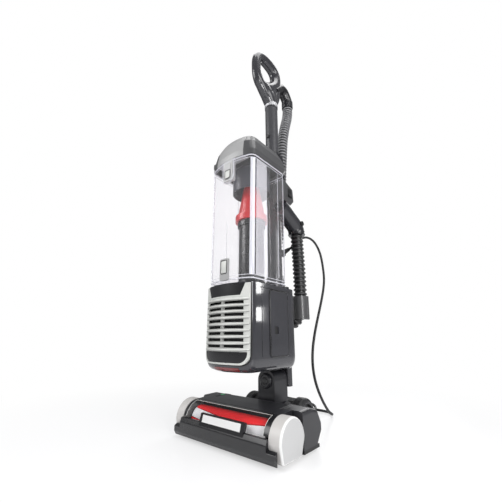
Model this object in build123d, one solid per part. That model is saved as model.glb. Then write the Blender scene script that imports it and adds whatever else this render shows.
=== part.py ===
from build123d import *
import math
import os

# Upright vacuum cleaner. X is across, +Y is to the rear, +Z is up, and the floor is z = 0.
# Lengths along Y are written from a point just ahead of the wheel axle, and frame_shift centres them.

# Clearances
running_fit = 0.06
slip_fit = 0.15
body_gap = 0.35
touch = 0.02

# Floor head
head_half_width = 147.0
cap_width = 27.0
brush_y = -153.0
brush_z = 35.0
chamber_radius = 32.0
window_radius = 37.0
window_wall = 2.4
window_start = 84.0
window_end = 166.0
cap_radius = 39.0
sole_bottom = 4.0
sole_thickness = 6.0
sole_front = -184.0
cover_top = 76.0
cover_rear = -38.0
cover_wall = 3.0
wing_inner = head_half_width - 50
wing_round = 8.0
rib_width = 10.0
bumper_front = -199.0
tab_left = -58.0
tab_right = 66.0
tab_low = 36.0
tab_top = 58.0
tab_front = -192.0
badge_low = 43.0
badge_high = 56.0
badge_thickness = 1.6
badge_proud = 0.4
lens_place = (-wing_inner - 3, -88.0)
lens_radius = 5.0
screw_x = wing_inner + rib_width / 2
screw_places = [(x, y) for x in (-screw_x, screw_x) for y in (-102.0, -60.0)]
screw_radius = 2.0
screw_length = 20.0
screw_head_radius = 4.0
screw_head_height = 2.4
glide_length = 40.0
glide_width = 12.0

# Brush roll and its drive
core_radius = 20.0
band_radius = 27.5
band_half_length = head_half_width - cap_width - 16
mouth_half_width = band_half_length + 4
band_turn_x = 24.0
band_twist = -50.0
red_band_angle = 132.0
white_band_angle = 40.0
band_steps = 9
band_start = 82.0
stub_radius = 5.0
bearing_radius = 9.0
bearing_width = 7.0
pulley_width = 8.0
brush_pulley_radius = 15.0
motor_pulley_radius = 6.0
belt_thickness = 2.0
belt_x = -(head_half_width - cap_width) + 1.5
brush_motor_y = -84.0
brush_motor_z = 42.0
brush_motor_radius = 17.0
brush_motor_length = 58.0
brush_motor_start = 5 - wing_inner
motor_shaft_radius = 3.0

# Rear wheels, axle and neck
axle_y = 3.0
axle_z = 38.0
axle_radius = 4.0
wheel_radius = 38.0
wheel_inner = 57.0
wheel_width = 27.0
tread_depth = 4.0
arm_inner = 33.0
arm_width = 16.0
arm_hub_radius = 13.0
axle_head_radius = 9.0
axle_head_width = 5.0
neck_half_width = 25.0
neck_front = -41.0
neck_rear = 13.0
neck_barrel_radius = 25.0
swivel_z = 111.0
swivel_pin_radius = 8.0
pivot_cap_radius = 17.5
pivot_cap_depth = 5.0

# Motor pod
pod_half_width = 71.0
pod_front_side = -172.0
pod_bow = 18.0
pod_rear = 6.0
pod_rear_corner = 34.0
pod_top = 328.0
pod_straight_bottom = 168.0
pod_bottom = 141.0
pod_wall = 3.0
pod_corner = 13.0
pod_draw_side = 24.0
pod_draw_front = 24.0
accent_proud = 1.2
frame_thickness = 4.0
frame_top = pod_top - 3
frame_bottom = 157.0
frame_half = 67.0
frame_foot_half = 65.0
frame_rounds = {2: 20, 3: 20}
panel_border = 3.5
slot_pitch = 13.0
slot_height = 7.0
slot_top = frame_top - 37.5
slot_floor = pod_straight_bottom + 15
slot_count = int((slot_top - slot_floor) / slot_pitch)
slot_half = 54.0
slot_rib = 8.0
deck_thickness = 4.0
foam_radius = 50.0
foam_height = 16.0
fan_motor_radius = 44.0
fan_motor_height = 62.0
fan_motor_floor = 190.0
fan_y = -88.0
fan_radius = 42.0
fan_height = 14.0
fan_shaft_radius = 4.0
filter_depth = 18.0

# Spine, wand socket and wand
duct_y = 8.0
duct_radius = 21.0
duct_wall = 2.5
spine_half_width = 30.0
spine_front = 13.4
spine_rear = 32.5
spine_foot = 94.0
spine_shoulder = 345.0
spine_top = 700.0
socket_length = 70.0
socket_wall = 3.5
socket_half = 26.0
wand_radius = 20.5
wand_wall = 2.0
wand_top = 954.0
ring_height = 12.0
ring_proud = 1.8
button_radius = 6.0
button_z = 831.0

# Dust cup and lid
cup_base = pod_top + touch
cup_rim = 651.0
cup_base_half = 68.0
cup_rim_half = 72.5
cup_front_side = -172.0
cup_bow = 15.0
cup_rear = -36.0
cup_wall = 2.5
cup_corner = 16.0
door_thickness = 7.0
door_lip = 1.0
latch_foot_height = 3.6
latch_travel = 3.0
latch_proud = 6.4
cyclone_y = -95.0
column_radius = 33.0
column_top = cup_rim - 146
cone_top_radius = 20.0
cone_low_radius = 37.0
cone_top = cup_rim - 36
shroud_radius = 51.0
shroud_low = cup_rim - 63
lid_top = cup_rim + 91
lid_rear = -22.0
lid_panel_depth = -162.0

# Handle
handle_half_thickness = 15.0
handle_edge = 6.0
cuff_radius = 18.5
cuff_end_z = 1024.0
cuff_y = 110.0

# Hose and its fittings
hose_radius = 18.0
hose_bore = 14.5
rib_depth = 2.2
rib_pitch = 8.0
plain_end = 20.0
hose_back_y = 53.0
leg_x = 52.0
leg_y = 51.0
elbow_radius = 23.5
elbow_low_z = 497.0
elbow_front = (50.0, -35.0, 561.0)
clip_wall = 3.5
clip_low = 258.0
clip_high = 319.0
switch_inner = 20.5
switch_outer = 50.0
rocker_y = 22.0
rocker_z = 624.0
rocker_tilt = 8.0
rocker_pivot_depth = 3.5

# Power cord
cord_radius = 3.5
coil_centre = (-66.0, 138.0)
coil_inner = 34.0
coil_half_turns = 11
coil_last_half_turns = 6
coil_pitch = 8.3
layer_pitch = 8.0
coil_outer = coil_inner + coil_half_turns * coil_pitch / 2
cord_join = (57.0, 189.0, 428.0)
coil_floor = 4.6
gland_base = (11.0, 19.0, 440.0)
gland_way = (0.35, 0.75, 0.56)
gland_length = 36.0
gland_wide = 8.5
gland_narrow = 5.2
tie_width = 13.0
tie_thickness = 0.9
plug_length = 38.0
plug_width = 25.0
plug_height = 17.0
pin_length = 17.0


def rounded_face(points, rounds):
    """A flat outline whose corners are rounded where rounds gives a radius for the point's number."""
    face = make_face(Polyline(*points, close=True))
    for number, radius in (rounds or {}).items():
        corner = face.vertices().sort_by_distance((*points[number], 0))[0]
        face = fillet(corner, radius)
    return face


def slab_x(points, x0, x1, rounds=None):
    """A plate with an outline in Y and Z, from x0 to x1."""
    side = Plane(origin=(x0, 0, 0), x_dir=(0, 1, 0), z_dir=(1, 0, 0))
    return extrude(side * rounded_face(points, rounds), amount=x1 - x0)


def slab_y(points, y0, y1, rounds=None):
    """A plate with an outline in X and Z, from y0 to y1."""
    front = Plane(origin=(0, y0, 0), x_dir=(-1, 0, 0), z_dir=(0, 1, 0))
    mirrored = [(-x, z) for x, z in points]
    return extrude(front * rounded_face(mirrored, rounds), amount=y1 - y0)


def block(x0, x1, y0, y1, z0, z1):
    return Pos((x0 + x1) / 2, (y0 + y1) / 2, (z0 + z1) / 2) * Box(x1 - x0, y1 - y0, z1 - z0)


def rod_x(radius, x0, x1, y, z):
    return Pos((x0 + x1) / 2, y, z) * Rot(0, 90, 0) * Cylinder(radius, x1 - x0)


def rod_y(radius, y0, y1, x, z):
    return Pos(x, (y0 + y1) / 2, z) * Rot(90, 0, 0) * Cylinder(radius, y1 - y0)


def rod_z(radius, z0, z1, x, y):
    return Pos(x, y, (z0 + z1) / 2) * Cylinder(radius, z1 - z0)


def mirrored_pair(solid):
    return Part() + [solid, mirror(solid, about=Plane.YZ)]


def bowed_outline(half, front_y, bow, rear_y, front_corner, rear_corner):
    """A plan with a front that bows forward and rounded corners."""
    arc = ThreePointArc((-half, front_y), (0, front_y - bow), (half, front_y))
    sides = Polyline((half, front_y), (half, rear_y), (-half, rear_y), (-half, front_y))
    face = make_face(arc + sides)
    ordered = face.vertices().sort_by(Axis.Y)
    face = fillet(ordered[:2], front_corner)
    return fillet(face.vertices().sort_by(Axis.Y)[-2:], rear_corner)


def bowed_strip(inset, depth, z0, z1, half):
    """A strip that follows the pod's bowed front, inset forward of it, depth thick and 2 half wide."""
    def arc(offset):
        y = pod_front_side - offset
        return ThreePointArc((-pod_half_width, y), (0, y - pod_bow), (pod_half_width, y))

    near = arc(inset)
    far = arc(inset + depth)
    ends = [Line(near @ 0, far @ 0), Line(near @ 1, far @ 1)]
    strip = extrude(Pos(0, 0, z0) * make_face(near + far + ends), amount=z1 - z0)
    return strip & block(-half, half, -300, 0, z0, z1)


# Floor head
def cap_outline(inset):
    """The end cap's side view: a round top over a foot that narrows to the floor."""
    radius = cap_radius - inset
    start = (brush_y - radius, brush_z)
    crown = (brush_y, brush_z + radius)
    end = (brush_y + radius, brush_z)
    top = ThreePointArc(start, crown, end)
    foot = Polyline(end, (brush_y + radius - 12, 6 + inset), (brush_y - radius + 6, 6 + inset), start)
    face = make_face(top + foot)
    return fillet(face.vertices(), 5)


def end_cap(side):
    inner = head_half_width - cap_width
    plane = Plane(origin=(inner, 0, 0), x_dir=(0, 1, 0), z_dir=(1, 0, 0))
    shell = extrude(plane * cap_outline(0), amount=cap_width)
    rim = shell.faces().sort_by(Axis.X)[-1].edges()
    shell = fillet(rim, 4)
    hollow = extrude(plane * cap_outline(cover_wall), amount=cap_width - 2 * cover_wall)
    socket = rod_x(bearing_radius + 3, inner, head_half_width - cover_wall, brush_y, brush_z)
    seat = rod_x(bearing_radius + running_fit, inner, inner + bearing_width, brush_y, brush_z)
    shaft_room = rod_x(stub_radius + 1, inner, inner + bearing_width + 4, brush_y, brush_z)
    cap = shell - hollow + socket - seat - shaft_room
    return cap if side > 0 else mirror(cap, about=Plane.YZ)


def bearing_rings():
    inner = head_half_width - cap_width
    ring = rod_x(bearing_radius, inner, inner + bearing_width, brush_y, brush_z)
    ring -= rod_x(stub_radius + running_fit, inner, inner + bearing_width, brush_y, brush_z)
    return mirrored_pair(ring)


def window_sector(inner, outer, start, end, half_length):
    """Part of a tube about the brush axis, between two angles measured from +Y upward."""
    def at(radius, angle):
        a = math.radians(angle)
        return (brush_y + radius * math.cos(a), brush_z + radius * math.sin(a))

    middle = (start + end) / 2
    outside = ThreePointArc(at(outer, start), at(outer, middle), at(outer, end))
    inside = ThreePointArc(at(inner, start), at(inner, middle), at(inner, end))
    ends = [Line(outside @ 0, inside @ 0), Line(outside @ 1, inside @ 1)]
    plane = Plane(origin=(-half_length, 0, 0), x_dir=(0, 1, 0), z_dir=(1, 0, 0))
    return extrude(plane * make_face(outside + inside + ends), amount=2 * half_length)


def brush_window():
    half = head_half_width - cap_width - touch
    return window_sector(window_radius - window_wall, window_radius, window_start, window_end, half)


def head_cover():
    half = head_half_width - 4
    outline = [
        (brush_y, brush_z + window_radius + 1),
        (-118, cover_top - 1),
        (-77, cover_top),
        (-52, cover_top - 6),
        (cover_rear, brush_z + 10),
        (cover_rear, 30),
        (-55, sole_bottom + sole_thickness),
        (-113, sole_bottom + sole_thickness),
        (-113, brush_z),
        (brush_y, brush_z),
    ]
    shell = slab_x(outline, -half, half, {1: 20, 2: 12, 3: 14, 4: 10, 5: 8})
    brows = [e for e in shell.edges() if abs(e.center().X) > half - 1 and e.center().Y > -119 and e.center().Z > 32]
    shell = fillet(brows, wing_round)
    inner = head_half_width - cap_width
    chamber = rod_x(chamber_radius, -half, half, brush_y, brush_z)
    window_seat = window_sector(chamber_radius - 1, window_radius + 3, window_start - 0.1, 200, half)
    cap_room = slab_x(
        [(-200, 0), (-200, 90), (brush_y + cap_radius + 0.5, 90), (brush_y + cap_radius + 0.5, 0)],
        inner - touch,
        half,
    )
    notch = block(-wing_inner, wing_inner, -47, 0, 0, 100)
    floor = sole_bottom + sole_thickness
    room = block(-wing_inner, wing_inner, -111, -50, floor - 1, cover_top - 6)
    wing_room = slab_x(
        [(-108, floor - 1), (-108, 68), (-60, 68), (-44, 42), (-44, 33), (-58, floor - 1)],
        wing_inner + rib_width,
        half - cover_wall,
    )
    slit = block(belt_x - 1, belt_x + pulley_width + 1, brush_y, -100, 14, 63)
    cover = shell - chamber - window_seat - cap_room - mirror(cap_room, about=Plane.YZ)
    cover = cover - notch - room - mirrored_pair(wing_room) - slit
    shaft_hole = rod_x(motor_shaft_radius + 1, belt_x, -wing_inner + 5, brush_motor_y, brush_motor_z)
    lens_hole = rod_z(lens_radius + touch, 60, 90, *lens_place)
    return cover - shaft_hole - lens_hole - screw_holes()


def indicator_lens():
    return rod_z(lens_radius, cover_top - 6, cover_top + 0.6, *lens_place)


def screw_holes():
    holes = []
    for x, y in screw_places:
        holes.append(rod_z(screw_radius + touch, sole_bottom, sole_bottom + screw_length, x, y))
    return Part() + holes


def head_screws():
    screws = []
    for x, y in screw_places:
        shank = rod_z(screw_radius, sole_bottom, sole_bottom + screw_length, x, y)
        screws.append(shank + rod_z(screw_head_radius, sole_bottom, sole_bottom + screw_head_height, x, y))
    return Part() + screws


def axle_arm():
    start = -58.0
    outline = [
        (start, sole_bottom),
        (start, sole_bottom + sole_thickness),
        (axle_y - 4, axle_z + 8),
        (axle_y + 4, axle_z - 8),
        (-20, sole_bottom + 4),
    ]
    arm = slab_x(outline, arm_inner, arm_inner + arm_width)
    arm += rod_x(arm_hub_radius, arm_inner, arm_inner + arm_width, axle_y, axle_z)
    return arm


def sole_plate():
    inner = head_half_width - cap_width
    top = sole_bottom + sole_thickness
    front = block(-inner + touch, inner - touch, sole_front, -110, sole_bottom, top)
    rear = block(-(head_half_width - 4), head_half_width - 4, -113, -55, sole_bottom, top)
    plate = front + rear
    mouth = block(-mouth_half_width, mouth_half_width, -172, -134, 0, 20)
    plate -= mouth
    plate += mirrored_pair(axle_arm())
    cradle_half = brush_motor_radius - 3
    cradle_start = brush_motor_start + 10
    low_y = brush_motor_y - cradle_half
    high_y = brush_motor_y + cradle_half
    cradle = block(cradle_start, cradle_start + 38, low_y, high_y, top, brush_motor_z - 6)
    cradle -= rod_x(brush_motor_radius + touch, -200, 200, brush_motor_y, brush_motor_z)
    plate += cradle
    plate -= block(-wing_inner, wing_inner, -47, -40, 30, 60)
    bore = rod_x(axle_radius + running_fit, -100, 100, axle_y, axle_z)
    heads = []
    for x, y in screw_places:
        heads.append(rod_z(screw_head_radius + touch, 0, sole_bottom + screw_head_height, x, y))
    return plate - bore - screw_holes() - (Part() + heads)


def glide_pads():
    pad = block(wing_inner - glide_length, wing_inner, -128, -128 + glide_width, 0, sole_bottom)
    rear_end = head_half_width - 10
    rear_pad = block(rear_end - glide_length * 0.8, rear_end, -84, -84 + glide_width, 0, sole_bottom)
    return mirrored_pair(pad) + mirrored_pair(rear_pad)


def front_bumper():
    inner = head_half_width - cap_width
    profile = [
        (sole_front, 5),
        (-194, 5.5),
        (bumper_front, 13),
        (bumper_front, 33),
        (bumper_front + 4, 42),
        (-170, 43),
        (-170, 5),
    ]
    bar = slab_x(profile, -inner + touch, inner - touch, {1: 3, 2: 6, 3: 7, 4: 2})
    lip_back = brush_y - cap_radius - 0.3
    lip_half = head_half_width - 8
    lip_profile = [(lip_back, 5), (-194.5, 5.5), (bumper_front, 13), (bumper_front, 23), (lip_back, 27)]
    lip = slab_x(lip_profile, -lip_half, lip_half, {2: 6, 3: 2})
    tab_rear = tab_front + 6
    tab_outline = [(bumper_front + 1, tab_low), (tab_front, tab_top), (tab_rear, tab_top), (tab_rear, tab_low)]
    tab = slab_x(tab_outline, tab_left, tab_right)
    bar = bar + lip + tab
    bar -= rod_x(window_radius + 0.05, -200, 200, brush_y, brush_z)
    bar -= block(-150, 150, sole_front - touch, -100, 0, sole_bottom + sole_thickness + touch)
    return bar - badge(touch)


def badge(grow=0.0):
    """The bare name plate, let into the bumper's tab."""
    low = badge_low - grow
    high = badge_high + grow
    lean = (tab_front - (bumper_front + 1)) / (tab_top - tab_low)
    low_face = bumper_front + 1 + (low - tab_low) * lean
    high_face = bumper_front + 1 + (high - tab_low) * lean
    outline = [
        (low_face - badge_proud, low),
        (high_face - badge_proud, high),
        (high_face + badge_thickness + grow, high),
        (low_face + badge_thickness + grow, low),
    ]
    return slab_x(outline, tab_left + 8 - grow, tab_right - 9 + grow)


# Brush roll and its drive
def brush_core():
    inner = head_half_width - cap_width
    core = rod_x(core_radius, -band_half_length - 3, band_half_length + 8, brush_y, brush_z)
    core += rod_x(stub_radius, -inner - bearing_width - 2, inner + bearing_width + 2, brush_y, brush_z)
    pulley = rod_x(brush_pulley_radius, belt_x, belt_x + pulley_width, brush_y, brush_z)
    return core + pulley


def band_section(x, turn, angle):
    """One slice across a band, a ring sector about the brush axis."""
    def at(radius, degrees):
        a = math.radians(degrees)
        return (radius * math.cos(a), radius * math.sin(a))

    first = turn - angle / 2
    last = turn + angle / 2
    outside = ThreePointArc(at(band_radius, first), at(band_radius, turn), at(band_radius, last))
    low = core_radius - 3
    inside = ThreePointArc(at(low, first), at(low, turn), at(low, last))
    ends = [Line(outside @ 0, inside @ 0), Line(outside @ 1, inside @ 1)]
    plane = Plane(origin=(x, brush_y, brush_z), x_dir=(0, 1, 0), z_dir=(1, 0, 0))
    return plane * make_face(outside + inside + ends)


def brush_band(turn, angle):
    """A helical band, as wide as the angle, whose twist reverses at band_turn_x."""
    halves = []
    for end in (-band_half_length, band_half_length):
        reach = end - band_turn_x
        sections = []
        for i in range(band_steps + 1):
            share = i / band_steps
            here = turn + band_twist * abs(reach) * share / (2 * band_half_length)
            sections.append(band_section(band_turn_x + reach * share, here, angle))
        halves.append(loft(sections, ruled=True))
    band = halves[0] + halves[1]
    return band - rod_x(core_radius, -200, 200, brush_y, brush_z)


def brush_bands(first, angle):
    return Part() + [brush_band(first, angle), brush_band(first + 180, angle)]


def motor_pulley():
    shaft = rod_x(motor_shaft_radius, belt_x - 0.5, brush_motor_start + 15, brush_motor_y, brush_motor_z)
    return shaft + rod_x(motor_pulley_radius, belt_x, belt_x + pulley_width, brush_motor_y, brush_motor_z)


def brush_motor():
    start = brush_motor_start
    can = rod_x(brush_motor_radius, start, start + brush_motor_length, brush_motor_y, brush_motor_z)
    can += rod_x(7, start - 4, start, brush_motor_y, brush_motor_z)
    return can - rod_x(motor_shaft_radius + running_fit, start - 5, start + 20, brush_motor_y, brush_motor_z)


def drive_belt():
    """A flat loop round both pulleys, straight between their tangent points."""
    dy = brush_motor_y - brush_y
    dz = brush_motor_z - brush_z
    span = math.hypot(dy, dz)
    tilt = math.degrees(math.atan2(dz, dy))

    def outline(grow):
        big = brush_pulley_radius + grow
        small = motor_pulley_radius + grow
        lean = math.acos((big - small) / span)
        c, s = math.cos(lean), math.sin(lean)
        upper = Line((big * c, big * s), (span + small * c, small * s))
        lower = Line((big * c, -big * s), (span + small * c, -small * s))
        back = ThreePointArc((big * c, big * s), (-big, 0), (big * c, -big * s))
        front = ThreePointArc((span + small * c, small * s), (span + small, 0), (span + small * c, -small * s))
        return make_face(upper + lower + back + front)

    loop = outline(body_gap + belt_thickness) - outline(body_gap)
    plane = Plane(origin=(belt_x + 0.5, brush_y, brush_z), x_dir=(0, 1, 0), z_dir=(1, 0, 0))
    return extrude(plane * Rot(0, 0, tilt) * loop, amount=pulley_width - 1)


# Rear wheels, axle and neck
def rear_wheel(side):
    outer = wheel_inner + wheel_width
    wheel = rod_x(wheel_radius, wheel_inner, outer, axle_y, axle_z)
    rims = wheel.edges().filter_by(GeomType.CIRCLE)
    wheel = fillet(rims, 7)
    dish = rod_x(wheel_radius - tread_depth - 8, outer - 5, outer + 1, axle_y, axle_z)
    hub = rod_x(axle_head_radius + 3, wheel_inner, outer, axle_y, axle_z)
    wheel = wheel - dish + hub
    wheel -= rod_x(axle_radius + running_fit, 0, 200, axle_y, axle_z)
    return wheel if side > 0 else mirror(wheel, about=Plane.YZ)


def rear_axle():
    outer = wheel_inner + wheel_width + body_gap
    axle = rod_x(axle_radius, -outer, outer, axle_y, axle_z)
    head = rod_x(axle_head_radius, outer, outer + axle_head_width, axle_y, axle_z)
    spacer = rod_x(axle_radius + 3, arm_inner + arm_width + touch, wheel_inner - body_gap, axle_y, axle_z)
    return axle + mirrored_pair(head) + mirrored_pair(spacer)


def neck_yoke():
    barrel = rod_x(neck_barrel_radius, -neck_half_width - 4, neck_half_width + 4, axle_y, axle_z)
    post = block(-neck_half_width, neck_half_width, neck_front, neck_rear, axle_z, swivel_z)
    crown = rod_y(neck_half_width, neck_front, neck_rear, 0, swivel_z)
    neck = barrel + post + crown
    duct = block(-16, 16, -14, 4, axle_z + 14, swivel_z - swivel_pin_radius - 3)
    neck -= duct
    neck -= rod_x(axle_radius + running_fit, -100, 100, axle_y, axle_z)
    return neck - rod_y(swivel_pin_radius + touch, -100, 100, 0, swivel_z)


def neck_pivot_pin():
    pin = rod_y(swivel_pin_radius, neck_front, spine_rear - 2, 0, swivel_z)
    cap = rod_y(pivot_cap_radius, neck_front - pivot_cap_depth, neck_front, 0, swivel_z)
    cap = fillet(cap.edges().filter_by(GeomType.CIRCLE).sort_by(Axis.Y)[0], 3)
    return pin + cap


# Motor pod
def pod_section(z, inset):
    """The pod's plan at a height: full size above, drawn in towards the rounded bottom."""
    drop = max(0.0, pod_straight_bottom - z) / (pod_straight_bottom - pod_bottom)
    draw = 1 - math.sqrt(max(0.0, 1 - (0.96 * drop) ** 2))
    half = pod_half_width - pod_draw_side * draw - inset
    front = pod_front_side + pod_draw_front * draw**2 + inset
    corner = pod_corner - min(inset, 4)
    rear_corner = pod_rear_corner - 12 * draw - inset
    return Pos(0, 0, z) * bowed_outline(half, front, pod_bow, pod_rear - inset, corner, rear_corner)


def pod_solid(inset, low):
    steps = 8
    heights = [pod_straight_bottom - (pod_straight_bottom - low) * i / steps for i in range(steps + 1)]
    sections = [pod_section(z, inset) for z in heights]
    bowl = loft(sections, ruled=True)
    return bowl + extrude(pod_section(pod_straight_bottom, inset), amount=pod_top - pod_straight_bottom)


def pod_shell():
    shell = pod_solid(0, pod_bottom) - pod_solid(pod_wall, pod_bottom + pod_wall)
    opening = block(-slot_half - 2, slot_half + 2, -220, -150, slot_top - slot_count * slot_pitch, slot_top + 2)
    shell -= opening
    joint_room = rod_y(neck_half_width + 2, neck_front - 2, spine_front, 0, swivel_z)
    shell -= joint_room
    gusset = block(-spine_half_width, spine_half_width, pod_rear - pod_wall, spine_front, 190, pod_top)
    stand = rod_z(fan_motor_radius - 10, pod_bottom + pod_wall, fan_motor_floor, 0, fan_y)
    stand -= rod_z(fan_motor_radius - 16, pod_bottom + pod_wall, fan_motor_floor, 0, fan_y)
    return shell + gusset + stand - rod_y(neck_half_width + 2, -200, spine_front, 0, swivel_z)


def pod_deck():
    deck = extrude(pod_section(pod_top - deck_thickness, pod_wall + touch), amount=deck_thickness)
    well = rod_z(foam_radius + 3, pod_top - foam_height - 6, pod_top, 0, fan_y)
    well -= rod_z(foam_radius + slip_fit, pod_top - foam_height - 2, pod_top, 0, fan_y)
    deck = deck - rod_z(foam_radius + slip_fit, 0, 400, 0, fan_y) + well
    return deck - rod_z(20, 0, 400, 0, fan_y)


def foam_filter():
    return rod_z(foam_radius, pod_top - foam_height - 2, pod_top - 2, 0, fan_y)


def suction_motor():
    can = rod_z(fan_motor_radius, fan_motor_floor, fan_motor_floor + fan_motor_height, 0, fan_y)
    can = fillet(can.edges().filter_by(GeomType.CIRCLE).sort_by(Axis.Z)[-1], 8)
    boss = rod_z(14, fan_motor_floor + fan_motor_height, fan_motor_floor + fan_motor_height + 8, 0, fan_y)
    shaft_room = rod_z(fan_shaft_radius + running_fit, fan_motor_floor + 20, pod_top, 0, fan_y)
    return can + boss - shaft_room


def fan_wheel():
    low = fan_motor_floor + fan_motor_height + 8 + body_gap
    disc = rod_z(fan_radius, low, low + 3, 0, fan_y)
    shaft = rod_z(fan_shaft_radius, fan_motor_floor + 24, low + fan_height, 0, fan_y)
    blades = []
    for i in range(9):
        blade = block(fan_shaft_radius + 4, fan_radius - 1, -1.2, 1.2, low + 3, low + fan_height)
        blades.append(Pos(0, fan_y, 0) * Rot(0, 0, 40 * i) * blade)
    return Part() + [disc, shaft] + blades


def front_frame_outline(inset):
    """The front cover seen from the front, narrower at its foot."""
    half = frame_half - inset
    foot = frame_foot_half - inset
    low = frame_bottom + inset
    return [(-half, frame_top), (half, frame_top), (foot, low), (-foot, low)]


def name_panel_outline(grow):
    return [
        (-58 - grow, frame_top + 1),
        (58 + grow, frame_top + 1),
        (46 + grow, frame_top - 26 - grow),
        (-46 - grow, frame_top - 26 - grow),
    ]


def lower_panel_room(inset):
    """The space for the lower panel: the frame's own outline, inset, below the last slot."""
    high = slot_top - slot_count * slot_pitch - 1 - inset + panel_border
    room = slab_y(front_frame_outline(inset), -230, -150, frame_rounds)
    return room & block(-100, 100, -230, -150, 0, high)


def grille_frame():
    strip = bowed_strip(body_gap, frame_thickness, frame_bottom - 5, frame_top + 5, frame_half + 2)
    frame = strip & slab_y(front_frame_outline(0), -230, -150, frame_rounds)
    cuts = [slab_y(name_panel_outline(touch), -230, -150), lower_panel_room(panel_border)]
    for i in range(slot_count):
        high = slot_top - i * slot_pitch
        cuts.append(block(-slot_half, -slot_rib / 2, -230, -150, high - slot_height, high))
        cuts.append(block(slot_rib / 2, slot_half, -230, -150, high - slot_height, high))
    return frame - cuts


def pod_front_panel():
    """The bare dark panels set in the frame above and below the grille, as one moulding."""
    strip = bowed_strip(body_gap, frame_thickness - 1, frame_bottom, frame_top, frame_half)
    upper = strip & slab_y(name_panel_outline(0), -230, -150)
    lower = strip & lower_panel_room(panel_border + touch)
    return Part() + [upper, lower]


def exhaust_filter():
    low = slot_top - slot_count * slot_pitch + 4
    body = bowed_strip(-filter_depth - 1, filter_depth, low, slot_top - 2, slot_half)
    return body


def pod_accent():
    """The red strip let into the pod's front lower edge."""
    low = pod_bottom + 3
    skin = pod_solid(-accent_proud, pod_bottom) - pod_solid(-touch, pod_bottom)
    return skin & block(-28, 40, -230, -150, low, low + 7)


def side_panel(side):
    high = pod_top - 12
    low = pod_straight_bottom + 2
    outline = [(-116, high), (-46, high), (-46, low), (-116, low)]
    panel = slab_x(outline, pod_half_width + touch, pod_half_width + 2.5, {0: 8, 1: 8, 2: 5, 3: 5})
    panel -= block(pod_half_width, pod_half_width + 5, -101, -86, 219, 235)
    return panel if side > 0 else mirror(panel, about=Plane.YZ)


# Spine, wand socket and wand
def spine():
    foot = block(-spine_half_width, spine_half_width, spine_front, spine_rear, spine_foot, spine_shoulder)
    foot = fillet(foot.edges().filter_by(Axis.Z), 5)
    tube = rod_z(duct_radius, spine_shoulder - 20, spine_top, 0, duct_y)
    back = slab_x(
        [
            (spine_front, spine_shoulder - 60),
            (spine_rear, spine_shoulder - 60),
            (spine_rear, spine_shoulder),
            (duct_y + duct_radius - 4, spine_shoulder + 35),
            (spine_front, spine_shoulder + 35),
        ],
        -duct_radius + 6,
        duct_radius - 6,
    )
    socket = rod_z(wand_radius + slip_fit + socket_wall, spine_top - 10, spine_top + socket_length, 0, duct_y)
    hood_outline = [(duct_y, 690), (spine_rear + 1, 690), (spine_rear + 1, 724), (spine_rear - 6, 764), (duct_y, 764)]
    hood = slab_x(hood_outline, -socket_half, socket_half, {2: 10, 3: 5})
    body = foot + tube + back + socket + hood
    channel = block(-spine_half_width + 4, spine_half_width - 4, spine_front + 4, spine_rear - 4, 140, spine_shoulder - 8)
    bore = rod_z(duct_radius - duct_wall - 1, spine_shoulder - 12, spine_top, 0, duct_y)
    wand_bore = rod_z(wand_radius + slip_fit, spine_top, spine_top + socket_length + 5, 0, duct_y)
    pin_bore = rod_y(swivel_pin_radius + running_fit, 0, spine_rear - 2 + body_gap, 0, swivel_z)
    cup_room = block(-100, 100, -100, cup_rear + 2, 0, 900)
    pod_room = block(-100, 100, -100, spine_front, 0, pod_top + 1)
    return body - channel - bore - wand_bore - pin_bore - cup_room - pod_room


def switch_housing():
    outline = [(-5, 657), (38, 641), (41, 603), (10, 572), (-12, 590), (-14, 650)]
    housing = slab_x(outline, switch_inner - 8, switch_outer, {1: 6, 2: 6, 3: 5})
    housing -= rod_z(duct_radius + touch, 500, 700, 0, duct_y)
    return housing - rocker_pocket()


def rocker_pocket():
    return block(switch_outer - 6, switch_outer + 5, rocker_y - 9.5, rocker_y + 9.5, rocker_z - 14.5, rocker_z + 14.5)


def power_switch():
    half = 13.5
    outline = [
        (switch_outer - 3.0, rocker_z - half),
        (switch_outer + 2.2, rocker_z - half),
        (switch_outer + 0.6, rocker_z),
        (switch_outer + 2.2, rocker_z + half),
        (switch_outer - 3.0, rocker_z + half),
        (switch_outer - 5.6, rocker_z),
    ]
    rocker = slab_y(outline, rocker_y - 9, rocker_y + 9)
    pivot = Pos(switch_outer - rocker_pivot_depth, 0, rocker_z)
    return pivot * Rot(0, -rocker_tilt, 0) * pivot.inverse() * rocker


def wand_tube():
    tube = rod_z(wand_radius, spine_top + 4, wand_top, 0, duct_y)
    tube -= rod_z(wand_radius - wand_wall, spine_top, wand_top + 1, 0, duct_y)
    pocket = rod_y(button_radius + slip_fit, -40, duct_y, 0, button_z)
    return tube - pocket


def wand_button():
    """The round wand release, which slides into the wand's wall."""
    face = duct_y - wand_radius - 5
    button = rod_y(button_radius, face, duct_y - wand_radius + wand_wall + 3, 0, button_z)
    return fillet(button.edges().filter_by(GeomType.CIRCLE).sort_by(Axis.Y)[0], 2)


def wand_ring():
    ring = rod_z(wand_radius + ring_proud, wand_top, wand_top + ring_height, 0, duct_y)
    return ring - rod_z(wand_radius - wand_wall, wand_top - 1, wand_top + ring_height + 1, 0, duct_y)


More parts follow.
